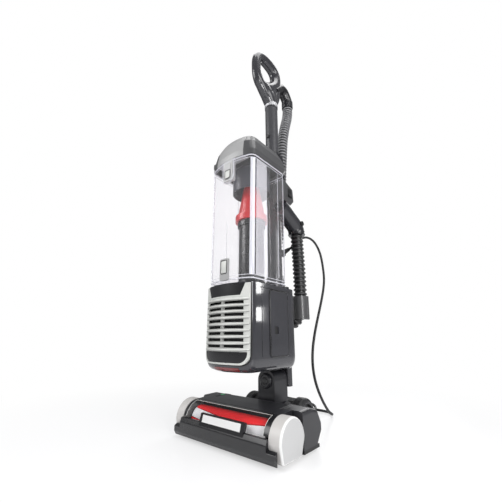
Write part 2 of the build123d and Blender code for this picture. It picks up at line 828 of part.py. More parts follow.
def handle():
    """The grip: a loop that leans forward over the wand."""
    base = wand_top + ring_height
    rim = Spline(
        (duct_y - 20, base),
        (-42, 990),
        (-68, 1016),
        (-80, 1054),
        (-76, 1098),
        (-48, 1140),
        (-4, 1151),
        (36, 1136),
        (54, 1099),
        (51, 1060),
        (42, 1010),
        (duct_y + 20, base),
        tangents=[(-0.6, 0.8), (-0.3, -1)],
    )
    foot = Line((duct_y + 20, base), (duct_y - 20, base))
    outside = make_face(rim + foot)
    hole = make_face(
        Spline(
            (-59, 1070),
            (-50, 1099),
            (-26, 1119),
            (4, 1121),
            (22, 1102),
            (16, 1070),
            (-12, 1042),
            (-44, 1038),
            periodic=True,
        )
    )
    plane = Plane(origin=(-handle_half_thickness, 0, 0), x_dir=(0, 1, 0), z_dir=(1, 0, 0))
    grip = extrude(plane * (outside - hole), amount=2 * handle_half_thickness)
    flats = [f for f in grip.faces() if abs(abs(f.center().X) - handle_half_thickness) < 0.01]
    rims = [e for f in flats for e in f.edges()]
    grip = fillet(rims, handle_edge)
    return grip - hose_outlet_core()


def cuff_path():
    points = [(0, 24, 1036), (0, 77, 1096), (0, cuff_y, 1056), (0, cuff_y, cuff_end_z)]
    return FilletPolyline(*points, radius=[24, 24])


def hose_outlet_core():
    path = cuff_path()
    plane = Plane(origin=path @ 0, z_dir=path % 0)
    return sweep(plane * Circle(cuff_radius + touch), path=path)


def hose_cuff():
    """The smooth bend that leads from the grip's rear down into the hose."""
    path = cuff_path()
    plane = Plane(origin=path @ 0, z_dir=path % 0)
    return sweep(plane * (Circle(cuff_radius) - Circle(hose_bore)), path=path)


# Dust cup and lid
def cup_section(z, inset):
    share = (z - cup_base) / (cup_rim - cup_base)
    half = cup_base_half + (cup_rim_half - cup_base_half) * share - inset
    corner = cup_corner - inset
    face = bowed_outline(half, cup_front_side + inset, cup_bow, cup_rear - inset, corner, corner)
    return Pos(0, 0, z) * face


def dust_cup():
    low = cup_base + door_thickness
    outside = loft([cup_section(low, 0), cup_section(cup_rim, 0)], ruled=True)
    inside = loft([cup_section(low, cup_wall), cup_section(cup_rim, cup_wall)], ruled=True)
    cup = outside - inside
    ix, iy, iz = elbow_front
    cup -= Pos(ix, cup_rear, iz) * Rot(90, 0, 0) * Cylinder(elbow_radius - 4, 30)
    notch = block(-17, 17, -200, cup_front_side + 4, cup_rim - 61, cup_rim + 1)
    return cup - notch


def cup_door():
    low = extrude(cup_section(cup_base, -door_lip), amount=door_thickness - touch)
    ring = extrude(cup_section(cup_base + door_thickness - touch, cup_wall + 1), amount=5)
    ring -= extrude(cup_section(cup_base + door_thickness - touch, cup_wall + 4), amount=5)
    foot_top = cup_base + latch_foot_height
    foot = block(-17, 17, cup_front_side - cup_bow - latch_proud, cup_front_side, cup_base, foot_top)
    return low + ring + foot - rod_z(column_radius - 6, 0, 400, 0, cyclone_y)


def cyclone_column():
    low = cup_base + door_thickness
    tube = rod_z(column_radius, low, column_top, 0, cyclone_y)
    foot = Pos(0, cyclone_y, low + 6) * Cone(column_radius + 5, column_radius, 12)
    bore = rod_z(column_radius - 3, low - 1, column_top + 1, 0, cyclone_y)
    collar = rod_z(column_radius + 4, column_top - 14, column_top, 0, cyclone_y)
    return tube + foot + collar - bore


def cyclone_cone():
    height = cone_top - column_top - 16
    ring = rod_z(cone_low_radius + 6, column_top, column_top + 16, 0, cyclone_y)
    cone = Pos(0, cyclone_y, column_top + 16 + height / 2) * Cone(cone_low_radius, cone_top_radius, height)
    neck = rod_z(cone_top_radius, cone_top, cup_rim - 4, 0, cyclone_y)
    bore_low = rod_z(cone_low_radius - 4, column_top - 1, column_top + 14, 0, cyclone_y)
    bore = rod_z(cone_top_radius - 3, column_top, cup_rim, 0, cyclone_y)
    return ring + cone + neck - bore - bore_low


def cyclone_shroud():
    bell = rod_z(shroud_radius, shroud_low, cup_rim, 0, cyclone_y)
    bell -= rod_z(shroud_radius - 2.5, shroud_low - 1, cup_rim - 4, 0, cyclone_y)
    return bell - rod_z(cone_top_radius - 3, shroud_low, cup_rim + 1, 0, cyclone_y)


def lid_solid(inset):
    def section(z, half, front, bow, rear, corner):
        face = bowed_outline(half - inset, front + inset, bow, rear - inset, corner - inset / 2, corner)
        return Pos(0, 0, z) * face

    low = cup_rim + touch
    rim = section(low, cup_rim_half + 1.5, cup_front_side - 1, cup_bow, cup_rear + 1, 14)
    band = section(low + 16, cup_rim_half + 1, cup_front_side, cup_bow, lid_rear, 16)
    brow = section(low + 46, cup_rim_half - 6, cup_front_side + 4, 14, lid_rear, 20)
    shoulder = section(low + 70, cup_rim_half - 17, cup_front_side + 15, 12, lid_rear - 2, 24)
    slope = section(low + 82, cup_rim_half - 28, cup_front_side + 27, 9, lid_rear - 8, 22)
    crown = section(lid_top - inset, cup_rim_half - 38, cup_front_side + 42, 6, lid_rear - 18, 18)
    return loft([rim, band, brow, shoulder, slope, crown], ruled=True)


def cup_lid():
    lid = lid_solid(0) - (lid_solid(3.0) - rod_z(shroud_radius + 3, 0, 900, 0, cyclone_y))
    lid = lid - rod_z(shroud_radius - 8, cup_rim - 1, lid_top - 24, 0, cyclone_y)
    panel_room = slab_y(lid_panel_outline(touch), -230, lid_panel_depth)
    return lid - panel_room - rod_z(wand_radius + 12, 0, 900, 0, duct_y)


def lid_panel_outline(grow):
    low = cup_rim + touch
    return [(-47 - grow, low - 1), (47 + grow, low - 1), (40 + grow, lid_top + 5), (-40 - grow, lid_top + 5)]


def lid_front_panel():
    """The light front of the lid, with the tongue that carries the release button."""
    panel = lid_solid(-0.8) & slab_y(lid_panel_outline(0), -230, lid_panel_depth - touch)
    tongue = block(-16, 16, cup_front_side - cup_bow - 1, cup_front_side - 5, cup_rim - 59, cup_rim + 3)
    panel = panel + tongue
    return panel - block(-11.3, 11.3, -230, cup_front_side - 8, cup_rim - 54, cup_rim - 11)


def cup_release_button():
    low = cup_rim - 54 + 0.3
    high = cup_rim - 11 - 0.3
    button = block(-11, 11, cup_front_side - cup_bow - 2.5, cup_front_side - 12, low, high)
    front = button.faces().sort_by(Axis.Y)[0]
    return fillet(front.edges(), 2)


def door_latch():
    face = cup_front_side - cup_bow
    low = cup_base + latch_foot_height + latch_travel + body_gap
    tab = block(-13, 13, face - latch_proud, face - door_lip - body_gap, low, cup_base + 58)
    return fillet(tab.edges().filter_by(Axis.Y), 4)


# Hose and its fittings
def hose_route():
    """Hand-placed points of the hose's middle line, from the grip to the elbow."""
    return [
        (0, cuff_y, cuff_end_z),
        (0, cuff_y, cuff_end_z - 18),
        (0, 103, 972),
        (0, 90, 936),
        (0, 77, 893),
        (0, 68, 848),
        (0, 62, 798),
        (-1, 57, 742),
        (-3, hose_back_y, 680),
        (-7, hose_back_y, 620),
        (-13, hose_back_y + 1, 560),
        (-21, hose_back_y + 1, 500),
        (-31, hose_back_y, 445),
        (-42, hose_back_y - 1, 390),
        (-50, leg_y, 340),
        (-52, leg_y, 300),
        (-46, leg_y, 269),
        (-26, leg_y, 250),
        (0, leg_y, 245),
        (26, leg_y, 250),
        (46, leg_y, 269),
        (leg_x, leg_y, 300),
        (leg_x + 0.5, leg_y, 345),
        (leg_x, leg_y, 395),
        (leg_x - 1, leg_y - 0.5, 445),
        (50, 50, elbow_low_z - 18),
        (50, 50, elbow_low_z),
    ]


def rounded_path(points):
    """Straight runs joined by arcs, each as large as its shorter run allows."""
    radii = []
    for before, here, after in zip(points, points[1:], points[2:]):
        into = Vector(*here) - Vector(*before)
        out = Vector(*after) - Vector(*here)
        half_turn = math.radians(into.get_angle(out)) / 2
        radii.append(0.45 * min(into.length, out.length) / math.tan(half_turn))
    return FilletPolyline(*points, radius=radii), radii


def hose():
    """A ribbed hose with an open bore. Its two ends are plain for a little way."""
    path, radii = rounded_path(hose_route())
    length = path.length
    ribs = int((length - 2 * plain_end) / rib_pitch)
    print("hose length", round(length), "ribs", ribs, "least radius", round(min(radii)))
    crest = 0.34
    stations = [(0, hose_radius - rib_depth)]
    for i in range(ribs):
        start = plain_end + i * (length - 2 * plain_end) / ribs
        stations.append((start, hose_radius - rib_depth))
        stations.append((start + rib_pitch * 0.22, hose_radius))
        stations.append((start + rib_pitch * (0.22 + crest), hose_radius))
        stations.append((start + rib_pitch * (0.44 + crest), hose_radius - rib_depth))
    stations.append((length, hose_radius - rib_depth))
    outside = loft([ring_at(path, s / length, r) for s, r in stations], ruled=True)
    bore_steps = int(length / (2 * rib_pitch))
    bore = loft([ring_at(path, i / bore_steps, hose_bore) for i in range(bore_steps + 1)], ruled=True)
    return outside - bore


def ring_at(path, share, radius):
    """A circle square to the path, turned so that its seam stays on one side."""
    return Plane(origin=path @ share, x_dir=Vector(0, -1, 0), z_dir=path % share) * Circle(radius)


def hose_elbow():
    """The rigid bend that carries the hose into the dust cup's rear."""
    x, y, z = elbow_front
    points = [(x, y, z), (x, y + 20, z - 8), (50, 50, 520), (50, 50, elbow_low_z)]
    path = FilletPolyline(*points, radius=[60, 26])
    plane = Plane(origin=path @ 0, z_dir=path % 0)
    elbow = sweep(plane * (Circle(elbow_radius) - Circle(hose_bore)), path=path)
    return elbow - block(0, 100, -100, cup_rear + body_gap, 400, 700)


def hose_clip():
    """A half-round saddle on the spine's side that follows the hose where it turns up."""
    saddle = rod_z(hose_radius + body_gap + clip_wall, clip_low, clip_high, leg_x, leg_y)
    saddle -= block(-100, leg_x - 6, leg_y - 8, 200, 0, 400)
    saddle -= block(-100, leg_x + 8, leg_y + 8, 200, 0, 400)
    saddle += block(spine_half_width + touch, leg_x - 8, spine_front + 5, leg_y - 3, clip_low, clip_high)
    path = rounded_path(hose_route()[18:24])[0]
    plane = Plane(origin=path @ 0, z_dir=path % 0)
    return saddle - sweep(plane * Circle(hose_radius + body_gap), path=path)


# Power cord
def cord_exit():
    return Vector(*gland_base) + Vector(*gland_way).normalized() * gland_length


def cord_gland():
    """The tapered strain relief on the duct's rear."""
    way = Vector(*gland_way).normalized()
    plane = Plane(origin=gland_base, z_dir=way)
    sleeve = plane * Pos(0, 0, gland_length / 2) * Cone(gland_wide, gland_narrow, gland_length)
    collar = plane * Pos(0, 0, 9) * Cylinder(gland_wide + 3, 4)
    return sleeve + collar - rod_z(duct_radius + touch, 300, 600, 0, duct_y)


def tube_along(points):
    path, radii = rounded_path(points)
    solid = sweep(Plane(origin=path @ 0, z_dir=path % 0) * Circle(cord_radius), path=path)
    expected = math.pi * cord_radius**2 * path.length
    print("cord radii", [round(r) for r in radii], "length", round(path.length))
    print("cord volume over section times length", round(solid.volume / expected, 4))
    return solid


def upper_cord_route():
    """Hand-placed points from the gland up and over, to the place where the cord starts to hang."""
    start = cord_exit()
    return [
        tuple(start),
        tuple(start + Vector(*gland_way).normalized() * 26),
        (32, 96, 503),
        (38, 128, 518),
        (45, 158, 513),
        (51, 178, 490),
        (55, 188, 459),
        cord_join,
    ]


def lower_cord_route():
    """Hand-placed points from the hanging bight down to the floor and round to the coil."""
    cx, cy = coil_centre
    return [
        cord_join,
        (59, 190, 397),
        (60.5, 177, 358),
        (61, 154, 314),
        (61, 127, 268),
        (60.5, 102, 221),
        (60, 86, 178),
        (60, 82, 138),
        (60, 91, 101),
        (60, 111, 67),
        (59, 138, 37),
        (56.5, 165, 16),
        (54, 188, 6.5),
        (42.5, 206.2, coil_floor),
        (24.5, cy + coil_outer, coil_floor),
        (-5, cy + coil_outer + 1.5, coil_floor),
        (-35, cy + coil_outer, coil_floor),
        (cx, cy + coil_outer, coil_floor),
    ]


def coil_stations():
    """Radius and height at each half turn: in, up, out, up, in, up and part of the way out."""
    radius = coil_outer
    height = coil_floor
    stations = [(radius, height)]
    way = -1
    counts = [coil_half_turns, coil_half_turns, coil_half_turns, coil_last_half_turns]
    for layer, count in enumerate(counts):
        for step in range(count):
            stride = coil_pitch / 2 if layer == 0 or step else coil_pitch
            radius += way * stride
            stations.append((radius, height))
        if layer < len(counts) - 1:
            radius += way * coil_pitch / 2
            height += layer_pitch
            stations.append((radius, height))
            way = -way
    return stations


def biarc(start, start_way, end, end_way):
    """Two arcs that leave start along start_way and reach end along end_way."""
    span = end - start
    ways = start_way + end_way
    spread = 2 * (1 - start_way.dot(end_way))
    reach = (-span.dot(ways) + math.sqrt(span.dot(ways) ** 2 + spread * span.dot(span))) / spread
    first = start + start_way * reach
    second = end - end_way * reach
    middle = (first + second) * 0.5
    middle_way = second - first
    return [Edge.make_tangent_arc(start, start_way, middle), Edge.make_tangent_arc(middle, middle_way, end)]


def coil_path():
    cx, cy = coil_centre
    stations = coil_stations()
    edges = []
    for i, ((r0, z0), (r1, z1)) in enumerate(zip(stations, stations[1:])):
        side = 1 if i % 2 == 0 else -1
        start = Vector(cx, cy + side * r0, z0)
        end = Vector(cx, cy - side * r1, z1)
        edges += biarc(start, Vector(-side, 0, 0), end, Vector(side, 0, 0))
    last_radius, last_height = stations[-1]
    side = 1 if len(stations) % 2 == 1 else -1
    start = Vector(cx, cy + side * last_radius, last_height)
    end = Vector(cx - side * last_radius, cy, plug_middle())
    edges += biarc(start, Vector(-side, 0, 0), end, Vector(0, -side, 0))
    return Wire(edges)


def plug_middle():
    top = coil_floor + 3 * layer_pitch + cord_radius
    return top + 0.4 + plug_height / 2


def cord_coil():
    path = coil_path()
    points = [path @ (i / 3000) for i in range(3001)]
    step = path.length / 3000
    apart = int(20 / step)
    least = min(
        (points[i] - points[j]).length
        for i in range(0, 3001, 2)
        for j in range(i + apart, 3001, 2)
        if abs(points[i].X - points[j].X) < 9 and abs(points[i].Y - points[j].Y) < 9
    )
    print("coil length", round(path.length), "least gap", round(least - 2 * cord_radius, 2))
    return sweep(Plane(origin=path @ 0, z_dir=path % 0) * Circle(cord_radius), path=path)


def cord_tie():
    """A flat strap closed round the turns on the near side of the coil."""
    cx, cy = coil_centre
    top = coil_floor + 3 * layer_pitch + cord_radius + 0.5
    outer = coil_outer + cord_radius + 5
    inner = coil_inner - cord_radius - 10
    t = tie_thickness
    band = block(cx - tie_width / 2, cx + tie_width / 2, cy - outer - t, cy - inner + t, 0, top + t)
    return band - block(cx - tie_width, cx + tie_width, cy - outer, cy - inner, t, top)


def cord_plug():
    """A moulded two-pin plug that rests on the coil."""
    cx, cy = coil_centre
    radius = coil_stations()[-1][0]
    side = 1 if len(coil_stations()) % 2 == 1 else -1
    z = plug_middle()
    body = block(-plug_width / 2, plug_width / 2, 0, plug_length, -plug_height / 2, plug_height / 2)
    body = fillet(body.edges().filter_by(Axis.Y), 5)
    pins = []
    for x in (-6.35, 6.35):
        pins.append(block(x - 0.8, x + 0.8, plug_length, plug_length + pin_length, -3.2, 3.2))
    plug = Part() + [body] + pins
    return Pos(cx - side * radius, cy, z) * Rot(0, 0, 180 if side > 0 else 0) * plug


parts = {
    "head_cover": head_cover(),
    "sole_plate": sole_plate(),
    "front_bumper": front_bumper(),
    "bumper_badge": badge(),
    "brush_window": brush_window(),
    "end_cap_left": end_cap(-1),
    "end_cap_right": end_cap(1),
    "indicator_lens": indicator_lens(),
    "glide_pads": glide_pads(),
    "brush_bearings": bearing_rings(),
    "drive_belt": drive_belt(),
    "brush_motor": brush_motor(),
    "motor_pulley": motor_pulley(),
    "rear_axle": rear_axle(),
    "head_screws": head_screws(),
    "brush_core": brush_core(),
    "brush_bands_red": brush_bands(band_start, red_band_angle),
    "brush_bands_white": brush_bands(band_start + 90, white_band_angle),
    "rear_wheel_left": rear_wheel(-1),
    "rear_wheel_right": rear_wheel(1),
    "neck_yoke": neck_yoke(),
    "neck_pivot_pin": neck_pivot_pin(),
    "spine": spine(),
    "pod_shell": pod_shell(),
    "pod_deck": pod_deck(),
    "foam_filter": foam_filter(),
    "suction_motor": suction_motor(),
    "fan_wheel": fan_wheel(),
    "grille_frame": grille_frame(),
    "pod_front_panel": pod_front_panel(),
    "exhaust_filter": exhaust_filter(),
    "pod_accent": pod_accent(),
    "side_panel_left": side_panel(-1),
    "side_panel_right": side_panel(1),
    "switch_housing": switch_housing(),
    "power_switch": power_switch(),
    "wand_tube": wand_tube(),
    "wand_button": wand_button(),
    "wand_ring": wand_ring(),
    "handle": handle(),
    "hose_cuff": hose_cuff(),
    "dust_cup": dust_cup(),
    "cup_door": cup_door(),
    "door_latch": door_latch(),
    "cyclone_column": cyclone_column(),
    "cyclone_cone": cyclone_cone(),
    "cyclone_shroud": cyclone_shroud(),
    "cup_lid": cup_lid(),
    "lid_front_panel": lid_front_panel(),
    "cup_release_button": cup_release_button(),
    "hose_elbow": hose_elbow(),
    "hose_clip": hose_clip(),
    "hose": hose(),
    "cord_gland": cord_gland(),
    "cord_upper": tube_along(upper_cord_route()),
    "cord_lower": tube_along(lower_cord_route()),
    "cord_coil": cord_coil(),
    "cord_tie": cord_tie(),
    "cord_plug": cord_plug(),
}

# The bumper's front and the hose cuff's rear stand equally far from the middle.
frame_shift = -(bumper_front + cuff_y + cuff_radius) / 2

os.makedirs("parts", exist_ok=True)
for name, shape in parts.items():
    export_step(Pos(0, frame_shift, 0) * shape, os.path.join("parts", name + ".step"))
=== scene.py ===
import math

import bpy
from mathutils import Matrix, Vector


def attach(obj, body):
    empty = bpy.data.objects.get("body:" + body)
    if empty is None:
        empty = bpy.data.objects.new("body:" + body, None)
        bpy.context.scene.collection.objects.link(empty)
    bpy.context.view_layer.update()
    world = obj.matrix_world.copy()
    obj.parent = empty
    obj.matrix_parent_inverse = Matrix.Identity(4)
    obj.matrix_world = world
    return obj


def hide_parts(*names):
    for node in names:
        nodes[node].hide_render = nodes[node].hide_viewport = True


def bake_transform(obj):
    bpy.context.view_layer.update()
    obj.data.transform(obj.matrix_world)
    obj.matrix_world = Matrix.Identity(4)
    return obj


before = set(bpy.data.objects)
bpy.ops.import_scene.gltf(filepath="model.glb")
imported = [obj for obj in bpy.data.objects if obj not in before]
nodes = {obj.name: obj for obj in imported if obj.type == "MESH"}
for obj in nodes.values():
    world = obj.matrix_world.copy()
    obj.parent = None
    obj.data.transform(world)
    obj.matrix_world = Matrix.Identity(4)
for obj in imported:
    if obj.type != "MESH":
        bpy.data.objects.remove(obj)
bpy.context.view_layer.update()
yShift = 35.25  # mm, from the drawing's own Y to the frame's


def mm(x, y, z):
    return Vector((x / 1000, (y + yShift) / 1000, z / 1000))


def srgb(red, green, blue):
    def linear(c):
        return c / 12.92 if c <= 0.04045 else ((c + 0.055) / 1.055) ** 2.4
    return (linear(red), linear(green), linear(blue), 1.0)


# camera, lights and floor
view = {
    "place": (470.24, -645.07, 208.81),
    "pitch": 106.81,
    "turn": 40.64,
    "lens": 20.785,
    "sensor": 36,
    "nearest": 0.01,
}
bpy.ops.object.select_all(action="DESELECT")
bpy.ops.object.camera_add(location=mm(*view["place"]))
camera = bpy.context.active_object
camera.name = "photoCamera"
camera.rotation_euler = (math.radians(view["pitch"]), 0, math.radians(view["turn"]))
camera.data.sensor_width = view["sensor"]
camera.data.lens = view["lens"]
camera.data.clip_start = view["nearest"]
bpy.context.scene.camera = camera
bpy.context.scene.view_settings.view_transform = "Standard"
print("camera set")

lamps = [
    # name, place, aim, watts, width and, for a pane, height
    ("frontBox", (-1.6, -2.2, 1.9), (0, 0, 0.5), 46, 1.6),
    ("sideBox", (2.2, -0.3, 1.5), (0, 0, 0.5), 26, 1.3),
    ("topBox", (0.2, 0.2, 2.9), (0, 0, 0.4), 34, 1.8),
    ("rearBox", (-0.6, 2.3, 1.4), (0, 0, 0.5), 18, 1.4),
    # small panes that the dark plastic mirrors
    ("cornerPane", (1.35, -0.85, 0.5), (0.05, -0.1, 0.3), 9, 0.35, 0.34),
    ("lowPane", (0.874, 0.872, 0.36), (0.071, -0.115, 0.262), 0.21, 0.038, 0.085),
    ("highPane", (0.874, 0.872, 0.545), (0.071, -0.115, 0.313), 0.25, 0.038, 0.1),
]


def addLamp(name, place, aim, watts, width, height=None):
    bpy.ops.object.light_add(type="AREA", location=place)
    lamp = bpy.context.active_object
    lamp.name = name
    lamp.data.energy = watts
    if height:
        lamp.data.shape = "RECTANGLE"
        lamp.data.size_y = height
    lamp.data.size = width
    lamp.rotation_euler = (Vector(aim) - Vector(place)).to_track_quat("-Z", "Y").to_euler()


for lamp in lamps:
    addLamp(*lamp)

room = {
    # colour and strength of what lights the object, what it mirrors and what the camera sees
    "ambient": ((0.97, 0.98, 1.0, 1), 0.42),
    "mirrored": ((0.97, 0.98, 1.0, 1), 0.24),
    "backdrop": ((1, 1, 1, 1), 1.0),
}
world = bpy.data.worlds.new("paleRoom")
bpy.context.scene.world = world
world.use_nodes = True
tree = world.node_tree
tree.nodes.clear()
rays = tree.nodes.new("ShaderNodeLightPath")
seen = tree.nodes.new("ShaderNodeMath")
seen.operation = "MAXIMUM"
tree.links.new(rays.outputs["Is Camera Ray"], seen.inputs[0])
tree.links.new(rays.outputs["Is Transmission Ray"], seen.inputs[1])
roomNodes = {}
for part, (colour, strength) in room.items():
    roomNodes[part] = tree.nodes.new("ShaderNodeBackground")
    roomNodes[part].inputs["Color"].default_value = colour
    roomNodes[part].inputs["Strength"].default_value = strength
within = tree.nodes.new("ShaderNodeMixShader")
tree.links.new(rays.outputs["Is Glossy Ray"], within.inputs[0])
tree.links.new(roomNodes["ambient"].outputs[0], within.inputs[1])
tree.links.new(roomNodes["mirrored"].outputs[0], within.inputs[2])
choose = tree.nodes.new("ShaderNodeMixShader")
out = tree.nodes.new("ShaderNodeOutputWorld")
tree.links.new(seen.outputs[0], choose.inputs[0])
tree.links.new(within.outputs[0], choose.inputs[1])
tree.links.new(roomNodes["backdrop"].outputs[0], choose.inputs[2])
tree.links.new(choose.outputs[0], out.inputs["Surface"])

studio = {
    "size": 14,
    "drop": 0.0004,
    "tone": (0.9, 0.9, 0.91, 1),
    "rough": 0.28,
    "glow": 1.0,
    "fade": (0.25, 1.0),  # from how far to how far away the floor fades into the backdrop
    "glowShare": (0.55, 1.0),  # near and far
}
floorMaterial = bpy.data.materials.new("paleFloor")
floorMaterial.use_nodes = True
tree = floorMaterial.node_tree
tree.nodes.clear()
rays = tree.nodes.new("ShaderNodeLightPath")
share = tree.nodes.new("ShaderNodeMath")
share.operation = "MULTIPLY"
tree.links.new(rays.outputs["Is Camera Ray"], share.inputs[0])
coords = tree.nodes.new("ShaderNodeTexCoord")
away = tree.nodes.new("ShaderNodeVectorMath")
away.operation = "LENGTH"
tree.links.new(coords.outputs["Object"], away.inputs[0])
fade = tree.nodes.new("ShaderNodeMapRange")
fade.interpolation_type = "SMOOTHSTEP"
fade.inputs["From Min"].default_value, fade.inputs["From Max"].default_value = studio["fade"]
fade.inputs["To Min"].default_value, fade.inputs["To Max"].default_value = studio["glowShare"]
tree.links.new(away.outputs["Value"], fade.inputs["Value"])
tree.links.new(fade.outputs["Result"], share.inputs[1])
paint = tree.nodes.new("ShaderNodeBsdfPrincipled")
paint.inputs["Base Color"].default_value = studio["tone"]
paint.inputs["Roughness"].default_value = studio["rough"]
glow = tree.nodes.new("ShaderNodeEmission")
glow.inputs["Strength"].default_value = studio["glow"]
choose = tree.nodes.new("ShaderNodeMixShader")
out = tree.nodes.new("ShaderNodeOutputMaterial")
tree.links.new(share.outputs[0], choose.inputs[0])
tree.links.new(paint.outputs[0], choose.inputs[1])
tree.links.new(glow.outputs[0], choose.inputs[2])
tree.links.new(choose.outputs[0], out.inputs["Surface"])
bpy.ops.object.select_all(action="DESELECT")
bpy.ops.mesh.primitive_plane_add(size=studio["size"], location=(0, 0, -studio["drop"]))
floor = bpy.context.active_object
floor.name = "studioFloor"
floor.data.materials.append(floorMaterial)
print("lights and floor set")


# shared surface groups
skinNoise = {"cloudScale": 14, "cloudDetail": 4, "grainDetail": 2, "roughSwing": 0.12}
plasticLook = {"reliefDepth": 0.001, "coatRough": 0.08}
clearLook = {"spread": 0.02, "grain": 300, "edgeBlend": 0.3, "edgePower": 4.0}


def newGroup(name, inputs, outputs):
    group = bpy.data.node_groups.new(name, "ShaderNodeTree")
    for label, kind, value in inputs:
        socket = group.interface.new_socket(name=label, in_out="INPUT", socket_type=kind)
        socket.default_value = value
    for label, kind in outputs:
        group.interface.new_socket(name=label, in_out="OUTPUT", socket_type=kind)
    return group, group.nodes.new("NodeGroupInput"), group.nodes.new("NodeGroupOutput")


def makeMouldedSkin():
    group, into, outOf = newGroup(
        "mouldedSkin",
        [
            ("Tone", "NodeSocketColor", (0.5, 0.5, 0.5, 1)),
            ("Spread", "NodeSocketFloat", 0.08),
            ("Roughness", "NodeSocketFloat", 0.35),
            ("Grain", "NodeSocketFloat", 900.0),
        ],
        [
            ("Color", "NodeSocketColor"),
            ("Roughness", "NodeSocketFloat"),
            ("Height", "NodeSocketFloat"),
        ],
    )
    add, join = group.nodes.new, group.links.new
    coords = add("ShaderNodeTexCoord")
    cloud = add("ShaderNodeTexNoise")
    cloud.inputs["Scale"].default_value = skinNoise["cloudScale"]
    cloud.inputs["Detail"].default_value = skinNoise["cloudDetail"]
    grain = add("ShaderNodeTexNoise")
    grain.inputs["Detail"].default_value = skinNoise["grainDetail"]
    join(coords.outputs["Object"], cloud.inputs["Vector"])
    join(coords.outputs["Object"], grain.inputs["Vector"])
    join(into.outputs["Grain"], grain.inputs["Scale"])
    centred = add("ShaderNodeMath")
    centred.operation = "SUBTRACT"
    centred.inputs[1].default_value = 0.5
    join(cloud.outputs["Fac"], centred.inputs[0])
    swing = add("ShaderNodeMath")
    swing.operation = "MULTIPLY"
    join(centred.outputs[0], swing.inputs[0])
    join(into.outputs["Spread"], swing.inputs[1])
    level = add("ShaderNodeMath")  # 1 - spread to 1 + spread
    level.operation = "MULTIPLY_ADD"
    level.inputs[1].default_value = 2.0
    level.inputs[2].default_value = 1.0
    join(swing.outputs[0], level.inputs[0])
    shade = add("ShaderNodeVectorMath")
    shade.operation = "SCALE"
    join(into.outputs["Tone"], shade.inputs[0])
    join(level.outputs[0], shade.inputs["Scale"])
    join(shade.outputs["Vector"], outOf.inputs["Color"])
    dull = add("ShaderNodeMath")
    dull.operation = "MULTIPLY_ADD"
    dull.inputs[1].default_value = skinNoise["roughSwing"]
    join(centred.outputs[0], dull.inputs[0])
    join(into.outputs["Roughness"], dull.inputs[2])
    join(dull.outputs[0], outOf.inputs["Roughness"])
    join(grain.outputs["Fac"], outOf.inputs["Height"])
    return group


mouldedSkin = makeMouldedSkin()


def newMaterial(name, tone, rough, spread, grain):
    material = bpy.data.materials.new(name)
    material.use_nodes = True
    tree = material.node_tree
    skin = tree.nodes.new("ShaderNodeGroup")
    skin.node_tree = mouldedSkin
    skin.inputs["Tone"].default_value = tone
    skin.inputs["Spread"].default_value = spread
    skin.inputs["Roughness"].default_value = rough
    skin.inputs["Grain"].default_value = grain
    shader = tree.nodes["Principled BSDF"]
    tree.links.new(skin.outputs["Color"], shader.inputs["Base Color"])
    return material, shader, skin


def plastic(name, tone, rough=0.35, spread=0.1, grain=900, bump=0.03, coat=0.0, metallic=0.0):
    material, shader, skin = newMaterial(name, tone, rough, spread, grain)
    tree = material.node_tree
    relief = tree.nodes.new("ShaderNodeBump")
    relief.inputs["Strength"].default_value = bump
    relief.inputs["Distance"].default_value = plasticLook["reliefDepth"]
    tree.links.new(skin.outputs["Roughness"], shader.inputs["Roughness"])
    tree.links.new(skin.outputs["Height"], relief.inputs["Height"])
    tree.links.new(relief.outputs["Normal"], shader.inputs["Normal"])
    shader.inputs["Coat Weight"].default_value = coat
    shader.inputs["Coat Roughness"].default_value = plasticLook["coatRough"]
    shader.inputs["Metallic"].default_value = metallic
    return material


def clearShell(name, tint, edgeTint, shine, rough, haze):
    # a thin clear wall: tinted where seen edge on, under a faint pale veil
    material, shader, skin = newMaterial(name, tint, rough, clearLook["spread"], clearLook["grain"])
    tree = material.node_tree
    add, join = tree.nodes.new, tree.links.new
    shader.inputs["Roughness"].default_value = rough
    edge = add("ShaderNodeLayerWeight")
    edge.inputs["Blend"].default_value = clearLook["edgeBlend"]
    colour = add("ShaderNodeMix")
    colour.data_type = "RGBA"
    colour.inputs["B"].default_value = edgeTint
    join(edge.outputs["Facing"], colour.inputs["Factor"])
    join(skin.outputs["Color"], colour.inputs["A"])
    passing = add("ShaderNodeBsdfTransparent")
    join(colour.outputs["Result"], passing.inputs["Color"])
    steep = add("ShaderNodeMath")
    steep.operation = "POWER"
    steep.inputs[1].default_value = clearLook["edgePower"]
    join(edge.outputs["Facing"], steep.inputs[0])
    mirror = add("ShaderNodeMath")
    mirror.operation = "MULTIPLY_ADD"
    mirror.inputs[1].default_value = shine
    mirror.inputs[2].default_value = haze
    join(steep.outputs[0], mirror.inputs[0])
    choose = add("ShaderNodeMixShader")
    join(mirror.outputs[0], choose.inputs[0])
    join(passing.outputs[0], choose.inputs[1])
    join(shader.outputs[0], choose.inputs[2])
    join(choose.outputs[0], tree.nodes["Material Output"].inputs["Surface"])
    return material


